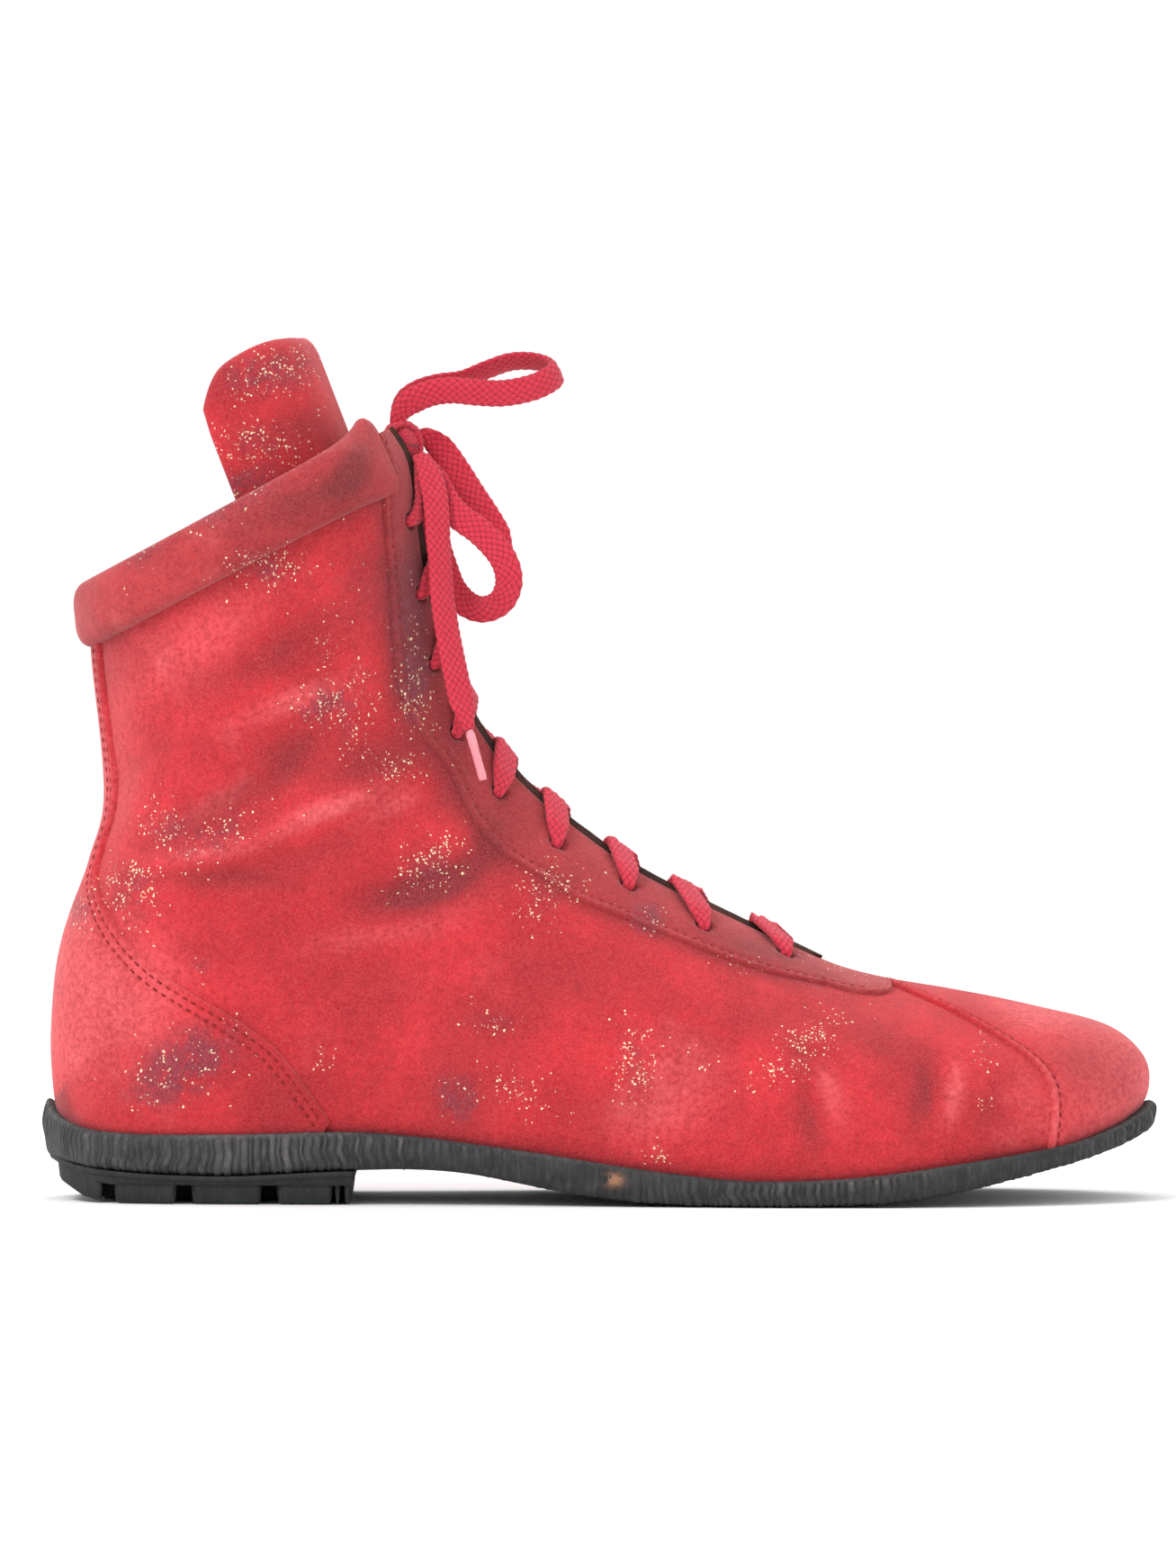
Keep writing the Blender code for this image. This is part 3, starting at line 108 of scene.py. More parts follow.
WALL_FOOT = [
    (-152, 14), (-147, 11.6), (-139, 9.4), (-120, 8.0), (-100, 7.5), (-72, 9.0), (-50, 9.6),
    (-35, 8.6), (-10, 3.6), (10, 0.9), (30, 0.0), (58, 0.0), (80, 0.9), (98, 3.9), (112, 7.2),
    (126, 10.9), (138, 14.9), (146, 19.2), (152, 23.5),
]

# ---------------------------------------------------------------- camera
SENSOR = 36.0                             # camera sensor, mm
VIEW_HEIGHT = 424.878                     # what the view takes in at the boot's middle, mm
LOOK_AT = Vector((-2.8, 0.0, 112.0)) * MM
CAMERA_DISTANCE = 3.2
CAMERA_HEIGHT = math.radians(1.2)


def add_camera():
    """A camera on the lateral side, at the photo's angle."""
    camera = bpy.data.objects.new("camera", bpy.data.cameras.new("camera"))
    bpy.context.scene.collection.objects.link(camera)
    camera.data.sensor_width = SENSOR
    camera.data.lens = SENSOR * CAMERA_DISTANCE / (VIEW_HEIGHT * MM)
    back = Vector((0, -math.cos(CAMERA_HEIGHT), math.sin(CAMERA_HEIGHT)))
    camera.location = LOOK_AT + back * CAMERA_DISTANCE
    camera.rotation_euler = (-back).to_track_quat("-Z", "Y").to_euler()
    bpy.context.scene.camera = camera


add_camera()

# ---------------------------------------------------------------- cord routes, mm
UPPER_LOOP = [
    (-54.6, -2.4, 209.2), (-53.6, -3.2, 212.4), (-50.5, -4.2, 215.6), (-45.1, -4.8, 217.9),
    (-39.3, -5.0, 218.6), (-32.9, -5.0, 218.0), (-25.6, -4.6, 217.8), (-18.3, -3.8, 219.2),
    (-13.4, -2.0, 221.4), (-11.2, 1.0, 223.6), (-13.2, 4.2, 225.4), (-18.0, 6.0, 226.6),
    (-24.0, 6.6, 226.4), (-30.5, 6.8, 224.2), (-37.0, 6.6, 221.6), (-44.0, 6.2, 220.6),
    (-50.0, 5.4, 218.6), (-54.0, 4.6, 215.0), (-55.2, 3.6, 209.6),
]
LOWER_LOOP = [
    (-47.6, -4.0, 200.6), (-45.2, -5.6, 196.2), (-42.8, -7.8, 191.4), (-40.2, -9.8, 187.2),
    (-36.8, -11.4, 183.8), (-32.7, -12.2, 180.9), (-28.9, -12.6, 177.3), (-26.0, -12.6, 173.6),
    (-24.4, -12.2, 169.6), (-24.3, -11.4, 165.6), (-26.0, -10.4, 161.8), (-28.8, -9.4, 159.9),
    (-31.8, -8.4, 159.4), (-34.9, -7.4, 160.4), (-37.6, -6.4, 162.6), (-39.8, -5.2, 165.6),
    (-41.2, -4.0, 169.2), (-42.6, -2.8, 173.6), (-43.9, -1.6, 178.2), (-45.1, -0.6, 183.2),
    (-46.4, 0.0, 188.0), (-48.0, 0.0, 192.6), (-50.2, 0.2, 196.6),
]
LATERAL_END = [
    (-48.6, -7.2, 201.0), (-45.9, -10.2, 196.6), (-44.2, -12.8, 190.4), (-43.5, -14.8, 184.2),
    (-43.2, -16.4, 178.0), (-42.6, -17.4, 171.6), (-42.3, -18.2, 165.0), (-41.5, -18.9, 158.6),
    (-40.4, -19.6, 152.0), (-39.1, -20.4, 145.4), (-37.7, -21.2, 138.8), (-36.2, -22.0, 132.4),
    (-34.8, -22.7, 127.0),
]
MEDIAL_END = [
    (-49.8, 4.6, 205.6), (-46.8, 4.8, 206.0), (-44.0, 4.6, 204.2), (-41.2, 4.0, 201.0),
    (-37.9, 3.0, 196.2), (-34.2, 1.8, 190.4), (-30.6, 0.4, 185.0), (-27.6, -1.2, 180.0),
    (-25.4, -2.6, 175.2), (-24.4, -3.2, 172.2),
]
KNOT = np.array((-53.2, 0.0, 203.0))
AGLET_LENGTH, AGLET_RADIUS = 14.0, 1.25
AGLET_DIRECTIONS = {"lateral": (4.0, -1.6, -14.0), "medial": (-1.2, 0.6, -14.0)}

# ---------------------------------------------------------------- wear and painted shading, mm in the side view
# Stain clouds: x, z, half length, half height, tilt in degrees, purple stain, glitter density.
LATERAL_STAINS = [
    (-89.0, 223.0, 11, 5, 10, 0.7, 0.9), (-91.0, 204.0, 9, 4.5, -8, 0.5, 1.0),
    (-100.0, 190.0, 14, 5, 25, 0.8, 0.45), (-124.0, 176.0, 8, 6, 30, 0.5, 0.15),
    (-88.0, 170.5, 9, 3.6, 3, 0.55, 1.0), (-66.0, 139.0, 6, 4, 50, 0.45, 0.9),
    (-73.0, 146.0, 3, 10, 0, 0.3, 0.3), (-72.0, 134.0, 8, 4.5, 10, 0.75, 1.0),
    (-67.0, 128.0, 4, 7, 10, 0.4, 0.7), (-50.5, 141.0, 3.5, 9, 0, 0.9, 0.7),
    (-51.5, 161.0, 4, 12, 0, 0.8, 0.15), (-49.5, 133.0, 3.5, 5, 10, 0.5, 0.8),
    (-54.5, 116.8, 6, 3.4, 10, 0.35, 0.9), (-116.0, 101.5, 5, 6, 60, 0.5, 0.75),
    (-103.5, 98.5, 13, 4, 22, 0.55, 0.55), (-125.5, 84.0, 7.5, 6.5, 0, 0.55, 1.15),
    (-138.5, 78.0, 3, 5, -20, 0.6, 0.5), (-45.5, 91.5, 8, 5, 25, 0.5, 0.95),
    (-14.0, 83.5, 5.5, 7, -40, 0.35, 1.1), (-111.0, 37.0, 14, 6.5, 32, 0.95, 0.45),
    (-106.0, 64.0, 3, 2.5, 0, 0.5, 0.3), (-73.5, 40.0, 3, 3, 0, 0.3, 0.45),
    (-29.0, 49.0, 6, 3, -5, 0.4, 0.55), (-20.5, 31.0, 6.5, 4.5, -25, 0.35, 0.75),
    (-37.5, 28.5, 5, 6, 30, 0.7, 0.2), (9.5, 38.5, 4.5, 8, 8, 0.5, 1.0),
    (27.0, 39.5, 4.5, 2.2, -20, 0.2, 0.5), (54.5, 41.5, 10, 4, 38, 0.3, 1.15),
    (104.0, 41.0, 2.6, 3.6, 0, 0.3, 0.55), (104.0, 27.5, 2.2, 3, 0, 0.2, 0.35),
    (16.5, 13.5, 3.2, 3.0, 0, 0.3, 0.85), (13.0, 76.0, 4, 3, -20, 0.8, 0.3),
    (66.0, 62.5, 8, 2.2, -15, 0.15, 0.6), (38.0, 63.0, 8, 3, -10, 0.15, 0.2),
    (-64.0, 166.0, 12, 14, 0, 0.35, 0.06), (-40.0, 108.0, 10, 6, 30, 0.3, 0.0),
]
# Painted shade and painted light in broad clouds on the nap: x, z, half length, half height, tilt, darker for
# painted shade (or paler for painted light, negative).
SHADE_STRENGTH = 1.25
SHADES = [
    (-62, 118, 16, 6, 20, 0.55), (-84, 121, 15, 6, 36, 0.45), (-92, 99, 16, 4.5, 12, 0.5),
    (-44, 84, 16, 6, 22, 0.8), (-30, 101, 6, 8, 0, 0.3), (-110, 88, 14, 3.5, 0, 0.5),
    (-80, 152, 20, 7, 30, 0.35), (-37, 30, 10, 12, 0, 0.5), (-28, 50, 12, 8, 0, 0.35),
    (57, 21, 4, 12, 8, 0.4), (87, 30, 3.6, 11, -8, 0.5), (76, 44, 10, 5, -20, 0.35),
    (104, 22, 5, 8, 0, 0.3), (-76, 190, 16, 4, 24, 0.5), (-66, 197, 4, 8, -20, 0.75),
    (-52, 160, 4.5, 20, 0, 0.6), (-50, 142, 4.5, 8, 0, 0.4), (-41, 112, 6, 9, 35, 0.4),
    (-10, 60, 16, 7, -20, 0.3), (-60, 60, 12, 12, 0, 0.25), (-84, 30, 12, 10, 0, 0.3),
    (-120, 182, 12, 5, 25, 0.3), (-80, 208, 8, 5, 0, 0.45), (-100, 222, 7, 6, 0, 0.3),
    (128, 38, 10, 7, -20, 0.35), (40, 50, 20, 6, -15, 0.3), (46, 66, 12, 3, -14, 0.4),
    (-106, 150, 26, 11, 30, -0.4), (-129, 112, 7, 20, 0, -0.35), (-100, 109, 15, 3.6, 32, -0.6),
    (-78, 103.5, 20, 3.2, 22, -0.65), (-108, 94, 14, 2.8, 8, -0.5), (-54, 107, 12, 3, 25, -0.4),
    (-142, 58, 9, 26, 0, -0.75), (-123, 56, 13, 17, 0, -0.6), (24, 38, 14, 13, 0, -0.35),
    (61, 29, 3.6, 10, 4, -0.5), (95, 30, 3.0, 10, -6, -0.5), (14, 24, 14, 7, 0, -0.35),
    (118, 48, 14, 4, -16, -0.4), (-80, 136, 12, 4, 25, -0.35), (-60, 72, 20, 5, 12, -0.35),
]
# Folds: points along the fold's bottom, half breadth, depth (negative stands proud).
LATERAL_FOLDS = [
    ([(-72, 127), (-84, 116.5), (-98, 108), (-112, 99.5), (-129, 92)], 4.6, 1.9),
    ([(-48, 116), (-62, 111), (-77, 105), (-90, 98.5), (-104, 94.5), (-122, 90)], 4.0, -1.7),
    ([(-56, 104), (-68, 98), (-80, 91), (-94, 88), (-108, 88)], 4.2, 1.3),
    ([(-26, 97), (-38, 88.5), (-50, 84), (-66, 80)], 4.6, 2.0),
    ([(-22, 86), (-36, 79), (-54, 74), (-74, 72)], 5.0, -1.2),
    ([(-66, 93), (-74, 86), (-90, 86.5), (-104, 91)], 2.2, 0.7),
    ([(-76, 150), (-90, 146), (-104, 139), (-116, 132)], 6.0, 1.1),
    ([(-60, 133), (-76, 136), (-92, 131), (-108, 122)], 5.0, -1.0),
    ([(-112, 126), (-124, 119), (-131, 112)], 3.6, 0.8),
    ([(54, 33), (56, 26), (60, 17)], 3.6, 0.9),
    ([(62, 34), (67, 26), (64, 15)], 3.0, -0.8),
    ([(84, 38), (88, 31), (82, 20)], 3.4, 0.9),
    ([(93, 39), (96, 31), (89, 19)], 3.0, -0.8),
    ([(72, 44), (78, 36), (76, 24)], 4.0, 0.6),
    ([(104, 38), (106, 30), (102, 20)], 3.0, 0.5),
    ([(20, 34), (6, 27), (-12, 24)], 7.0, 0.8),
]


# ---------------------------------------------------------------- small tools
def unit(vectors):
    return vectors / np.linalg.norm(vectors, axis=-1, keepdims=True)


def travel(points):
    """Distance travelled along a line, at each of its points."""
    return np.concatenate([[0], np.cumsum(np.linalg.norm(np.diff(points, axis=0), axis=1))])


def circle(count):
    return np.linspace(0, 2 * math.pi, count + 1)[:-1]


def squarish(angles, across_power, up_power):
    """Cosine and sine of the angles, fuller at the corners the lower the powers."""
    return [
        np.sign(wave) * np.abs(wave) ** power
        for wave, power in ((np.cos(angles), across_power), (np.sin(angles), up_power))
    ]


def eased(values, times):
    """Values round a closed loop, averaged with their neighbours."""
    for _ in range(times):
        values = (values + (np.roll(values, 1, 0) + np.roll(values, -1, 0)) / 2) / 2
    return values


# ---------------------------------------------------------------- the fan surface
def spline(rows, t):
    """Catmull-Rom values of a table of rows at the fractional indices t."""
    rows = np.asarray(rows, float)
    t = np.asarray(t, float)
    last = len(rows) - 1
    i = np.clip(np.floor(t).astype(int), 0, last - 1)
    u = (t - i)[..., None]
    a, b, c, d = (rows[np.clip(i + k, 0, last)] for k in (-1, 0, 1, 2))
    square, cube = 2 * a - 5 * b + 4 * c - d, 3 * b - a - 3 * c + d
    return 0.5 * (2 * b + (c - a) * u + square * u**2 + cube * u**3)


def toe_seam_station(p):
    """Station of the toe cap's seam, a share p of the way from the ridge to the lower edge."""
    return TOE_SEAM_LOW + (TOE_SEAM_TOP - TOE_SEAM_LOW) * (1 - p) ** TOE_SEAM_BEND


def place(r, g):
    """Point of the base suede, mm. Rows r: 0 to 1 toe cap, 1 to 2 vamp, then station less 6.
    g runs from -1, the lateral lower edge, over 0, the ridge, to 1, the medial lower edge."""
    r, g = np.broadcast_arrays(np.asarray(r, float), np.asarray(g, float))
    share = np.minimum(np.abs(g), 1.0)
    t_high = np.clip(r + 6, 8, 23)
    turn = np.radians(np.minimum(spline(STATIONS, t_high)[..., 7], 180))
    turn = np.where(r < 2, math.radians(105), turn)
    p = (1 - np.cos(share * turn)) / (1 - np.cos(turn))
    seam = toe_seam_station(p)
    t = np.where(r < 1, r * seam, np.where(r < 2, seam + (SLIT_END - seam) * (r - 1), t_high))
    row = spline(STATIONS, t)
    reach = np.where(g < 0, -row[..., 5], row[..., 6]) - row[..., 4]
    sine = np.sin(share * turn).clip(0)
    y = row[..., 4] + reach * sine ** (row[..., 8] + (0.95 - row[..., 8]) * p)
    x = row[..., 0] + (row[..., 2] - row[..., 0]) * p
    z = row[..., 1] + (row[..., 3] - row[..., 1]) * p
    return np.stack([x, y, z], -1)


def normal(r, g, step=0.004):
    """Outward unit normals of the base suede."""
    r, g = np.broadcast_arrays(np.asarray(r, float), np.asarray(g, float))
    g = np.clip(g, -1 + 2 * step, 1 - 2 * step)
    low, high = np.maximum(r - 0.06, 0.05), np.minimum(np.maximum(r, 0.05) + 0.06, 17)
    along = place(high, g) - place(low, g)
    across = place(np.maximum(r, 0.03), g + step) - place(np.maximum(r, 0.03), g - step)
    n = np.cross(across, along)
    return n / np.linalg.norm(n, axis=-1, keepdims=True).clip(1e-9)


def smooth_noise(points, size, seed=0.0):
    """Soft noise from -1 to 1 at points in mm, with features of the given size."""
    flat = points.reshape(-1, 3) / size + seed
    values = [noise.noise(Vector(point)) for point in flat]
    return np.array(values).reshape(points.shape[:-1])


def along_polyline(points, line):
    """Distance from (x, z) points to a polyline, and the share of the line reached, 0 to 1."""
    line = np.asarray(line, float)
    starts = travel(line)
    best = np.full(points.shape[:-1], 1e9)
    share = np.zeros(points.shape[:-1])
    for a, b, length, start in zip(line, line[1:], np.diff(starts), starts):
        f = np.clip(((points - a) @ (b - a)) / length**2, 0, 1)
        distance = np.linalg.norm(points - a - f[..., None] * (b - a), axis=-1)
        nearer = distance < best
        best = np.where(nearer, distance, best)
        share = np.where(nearer, (start + f * length) / starts[-1], share)
    return best, share


def folds(points):
    """How far the leather stands in (negative) or out at points of either side, mm.
    The medial side carries the lateral side's folds, moved a little."""
    side_view = points[..., [0, 2]].copy()
    medial = points[..., 1] > 0
    side_view[..., 0] += np.where(medial, 4.0, 0.0)
    side_view[..., 1] += np.where(medial, -3.0, 0.0)
    breadth = np.minimum(1.0, np.abs(points[..., 1]) / 16.0)
    total = np.zeros(points.shape[:-1])
    for line, half, depth in LATERAL_FOLDS:
        fine = spline(line, np.linspace(0, len(line) - 1, 4 * len(line)))
        distance, share = along_polyline(side_view, fine)
        ends = np.sin(np.pi * np.clip(share, 0.02, 0.98)) ** 0.6
        total -= depth * ends * np.exp(-((distance / half) ** 2))
    return total * breadth


def surface(r, g, depth=0.0, wrinkled=1.0):
    """Points at a depth over the base suede with its folds, mm."""
    base, out = place(r, g), normal(r, g)
    lift = folds(base) + 0.35 * smooth_noise(base, 14.0, 3.1)
    lift = wrinkled * (lift + 0.5 * smooth_noise(base, 32.0, 9.7))
    return base + out * (np.asarray(depth, float) + lift)[..., None]


def seam_table(seam, first):
    """Angular fraction at which each section crosses a seam, for rows from first up."""
    fine = spline(seam, np.linspace(0, len(seam) - 1, 8 * len(seam)))
    rows, found = np.arange(first, 17.01, 0.05), []
    previous = 0.2
    for r in rows:
        row = spline(STATIONS, r + 6)
        start = row[[0, 1]]
        span = row[[2, 3]] - start
        along = np.diff(fine, axis=0)
        away = fine[:-1] - start
        cross = span[0] * along[:, 1] - span[1] * along[:, 0]
        p = (away[:, 0] * along[:, 1] - away[:, 1] * along[:, 0]) / cross
        q = (away[:, 0] * span[1] - away[:, 1] * span[0]) / cross
        hits = p[(q > -0.01) & (q < 1.01) & (p > 0.002) & (p <= 1.0)]
        if len(hits):
            turn = math.radians(min(row[7], 180))
            previous = math.acos(1 - hits[0] * (1 - math.cos(turn))) / turn
        found.append(previous)
    return rows, np.array(found)


EYESTAY_ROWS, EYESTAY_SHARES = seam_table(EYESTAY_SEAM, 2.0)
COUNTER_ROWS, COUNTER_SHARES = seam_table(COUNTER_SEAM, 6.3)


def eyestay_share(r):
    """The eyestay seam's angular fraction; it closes over the ridge between rows 1 and 2."""
    r = np.asarray(r, float)
    high = np.interp(r, EYESTAY_ROWS, EYESTAY_SHARES)
    return np.where(r < 2, high * np.sqrt(np.clip(1 - (2 - r) ** 2, 0, 1)), high)


def share_at(r, y):
    """Signed angular fraction of the point at breadth y on row r."""
    row = spline(STATIONS, np.asarray(r, float) + 6)
    reach = np.abs(np.where(y < row[..., 4], -row[..., 5], row[..., 6]) - row[..., 4])
    sine = np.clip(np.abs(y - row[..., 4]) / reach, 0, 1) ** (1 / row[..., 8])
    return np.sign(y - row[..., 4]) * np.arcsin(sine) / np.radians(np.minimum(row[..., 7], 180))


def slit_share(r, side):
    """Signed angular fraction of the lacing edge."""
    r = np.asarray(r, float)
    half = spline(np.array(SLIT_HALF_WIDTHS)[:, None], np.clip(r - 2, 0, 15))[..., 0]
    ridge = spline(STATIONS, np.clip(r, 2, 17) + 6)[..., 4]
    return np.where(r > 2, share_at(np.clip(r, 2, 17), ridge + side * half.clip(0)), 0.0)


def mm_per_share(r, g):
    """Millimetres that one whole unit of g spans at a place."""
    return np.linalg.norm(place(r, g + 0.01) - place(r, g - 0.01), axis=-1) / 0.02


# ---------------------------------------------------------------- meshes
def mesh_piece(name, points, faces, look, body=BOOT, uvs=None):
    """A smooth-shaded object from points in mm."""
    mesh = bpy.data.meshes.new(name)
    mesh.from_pydata((np.asarray(points) * MM).tolist(), [], [list(map(int, face)) for face in faces])
    mesh.validate()
    mesh.shade_smooth()
    for each in look if isinstance(look, (list, tuple)) else [look]:
        mesh.materials.append(each)
    piece = bpy.data.objects.new(name, mesh)
    bpy.context.scene.collection.objects.link(piece)
    if uvs is not None:
        layer = mesh.uv_layers.new(name="along")
        corners = np.array([loop.vertex_index for loop in mesh.loops])
        layer.data.foreach_set("uv", np.asarray(uvs)[corners].astype(np.float32).ravel())
    if body:
        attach(piece, body)
    return piece


def grid_faces(rows, columns, closed=False, start=0, skip=None):
    """Quads of a grid of points stored row by row."""
    quads = []
    for i in range(rows - 1):
        for j in range(columns if closed else columns - 1):
            if skip is not None and skip(i, j):
                continue
            k = (j + 1) % columns
            a = start + i * columns
            quads.append((a + j, a + k, a + columns + k, a + columns + j))
    return quads


def tube_faces(rings, around, start=0):
    """Faces of a tube of rings with a cap on each end."""
    last = start + (rings - 1) * around
    caps = [tuple(range(start, start + around)), tuple(reversed(range(last, last + around)))]
    return grid_faces(rings, around, closed=True, start=start) + caps


def edit_mesh(piece, *edits):
    """Run edits, functions of a bmesh, on a piece."""
    shape = bmesh.new()
    shape.from_mesh(piece.data)
    for edit in edits:
        edit(shape)
    shape.to_mesh(piece.data)
    shape.free()


def weld(shape):
    """Join points that lie on each other."""
    bmesh.ops.remove_doubles(shape, verts=shape.verts, dist=1e-6)


def face_outward(shape):
    bmesh.ops.recalc_face_normals(shape, faces=shape.faces)


def smooth_once(shape):
    bmesh.ops.smooth_vert(
        shape, verts=shape.verts, factor=0.5, use_axis_x=True, use_axis_y=True, use_axis_z=True
    )


def fix_normals(piece):
    edit_mesh(piece, weld, face_outward)


def paint(piece, values):
    """Store wear and painted shading at each point: stain, glitter, grime with painted shade, and paleness
    with painted light.
    """
    layer = piece.data.color_attributes.new("wear_and_shading", "FLOAT_COLOR", "POINT")
    layer.data.foreach_set("color", np.clip(values, 0, 2).astype(np.float32).ravel())


def cloud(points, x, z, long, high, tilt):
    """A soft elliptical cloud in the side view, 1 at its centre."""
    c, s = math.cos(math.radians(tilt)), math.sin(math.radians(tilt))
    dx, dz = points[..., 0] - x, points[..., 2] - z
    u, v = (dx * c + dz * s) / long, (-dx * s + dz * c) / high
    return np.exp(-(u**2 + v**2) * 0.9)


MEDIAL_STAINS = [
    (x * 0.96 + dice.uniform(-14, 14), z * 0.97 + dice.uniform(-7, 7), a, b, -tilt, stain, glitter)
    for x, z, a, b, tilt, stain, glitter in LATERAL_STAINS if z < 180 and dice.uniform() < 0.8
]


def wear_and_shading(points, grime_and_shade=0.0, pale=0.0):
    """Stain, glitter, grime with painted shade, and paleness with painted light, at points of the upper, mm.
    """
    points = np.asarray(points).reshape(-1, 3)
    side = points[:, 1] < 4
    stain, glitter = np.zeros(len(points)), np.zeros(len(points))
    for table, here in ((LATERAL_STAINS, side), (MEDIAL_STAINS, ~side)):
        for x, z, long, high, tilt, purple, specks in table:
            soft = cloud(points, x, z, long * 1.25, high * 1.35, tilt) * here
            stain = np.maximum(stain, purple * soft)
            glitter = np.maximum(glitter, specks * cloud(points, x, z, long, high, tilt) * here)
    fold = -folds(points)
    shade = np.zeros(len(points))
    for x, z, long, high, tilt, amount in SHADES:
        shade += SHADE_STRENGTH * amount * cloud(points, x + 3 * ~side, z, long, high, tilt)
    # Painted shade in the folds' hollows and under the darker clouds, added to the grime and shade passed in;
    # painted light on the folds' crests and under the paler clouds, added to the paleness passed in and a
    # paler, worn toe.
    dark = np.clip(fold * 0.34, 0, 0.55) + np.clip(shade, 0, 0.8) + np.asarray(grime_and_shade)
    light = np.clip(-fold * 0.25, 0, 0.3) + np.clip(-shade, 0, 0.6) + np.asarray(pale)
    light = light + 0.55 * np.clip((points[:, 0] - 100) / 34, 0, 1)
    broad = lambda v: np.broadcast_to(v, (len(points),))
    return np.stack([stain, glitter, broad(dark), broad(light)], -1)


# ---------------------------------------------------------------- materials
def colour(red, green, blue):
    """Linear colour from 0 to 255 screen values."""
    def linear(value):
        value = value / 255
        return value / 12.92 if value <= 0.04045 else ((value + 0.055) / 1.055) ** 2.4
    return (linear(red), linear(green), linear(blue), 1.0)


class Nodes:
    """A short way to build a material's node tree."""

    def __init__(self, name, **sockets):
        self.material = bpy.data.materials.new(name)
        self.material.use_nodes = True
        self.tree = self.material.node_tree
        self.shader = self.tree.nodes["Principled BSDF"]
        for socket, value in sockets.items():
            self.shader.inputs[socket.replace("_", " ")].default_value = value
        self.place = self.add("ShaderNodeTexCoord").outputs["Object"]

    def add(self, kind, **settings):
        made = self.tree.nodes.new(kind)
        for key, value in settings.items():
            setattr(made, key, value)
        return made

    def link(self, value, socket):
        if isinstance(value, bpy.types.NodeSocket):
            self.tree.links.new(value, socket)
        else:
            socket.default_value = value

    def noise(self, size, detail=3, roughness=0.6, stretch=None):
        """Noise with features of about size, mm; stretch scales the place on each axis."""
        node = self.add("ShaderNodeTexNoise")
        node.inputs["Scale"].default_value = 1000 / size
        node.inputs["Detail"].default_value = detail
        node.inputs["Roughness"].default_value = roughness
        place = self.place
        if stretch:
            mapping = self.add("ShaderNodeMapping")
            mapping.inputs["Scale"].default_value = stretch
            self.link(place, mapping.inputs["Vector"])
            place = mapping.outputs["Vector"]
        self.link(place, node.inputs["Vector"])
        return node.outputs["Fac"]

    def math(self, operation, a, b=0.0, clamp=False):
        node = self.add("ShaderNodeMath", operation=operation, use_clamp=clamp)
        self.link(a, node.inputs[0])
        self.link(b, node.inputs[1])
        return node.outputs[0]

    def range(self, value, low, high, to_low=0.0, to_high=1.0):
        node = self.add("ShaderNodeMapRange", interpolation_type="SMOOTHSTEP")
        self.link(value, node.inputs["Value"])
        for socket, number in zip(("From Min", "From Max", "To Min", "To Max"), (low, high, to_low, to_high)):
            node.inputs[socket].default_value = number
        return node.outputs["Result"]

    def mix(self, factor, a, b, blend="MIX"):
        node = self.add("ShaderNodeMix", data_type="RGBA", blend_type=blend)
        self.link(factor, node.inputs["Factor"])
        self.link(a, node.inputs["A"])
        self.link(b, node.inputs["B"])
        return node.outputs["Result"]

    def wear_and_shading(self):
        """Stain, glitter, grime with painted shade, and paleness with painted light, painted on the mesh."""
        node = self.add("ShaderNodeAttribute", attribute_name="wear_and_shading")
        split = self.add("ShaderNodeSeparateColor")
        self.link(node.outputs["Color"], split.inputs["Color"])
        return (*[split.outputs[c] for c in ("Red", "Green", "Blue")], node.outputs["Alpha"])

    def bump(self, height, distance, strength=1.0, under=None):
        node = self.add("ShaderNodeBump")
        node.inputs["Strength"].default_value = strength
        node.inputs["Distance"].default_value = distance * MM
        self.link(height, node.inputs["Height"])
        if under is not None:
            self.link(under, node.inputs["Normal"])
        return node.outputs["Normal"]

    def finish(self, base, roughness=None, bump=None, metallic=None):
        self.link(base, self.shader.inputs["Base Color"])
        for value, socket in ((roughness, "Roughness"), (bump, "Normal"), (metallic, "Metallic")):
            if value is not None:
                self.link(value, self.shader.inputs[socket])
        return self.material


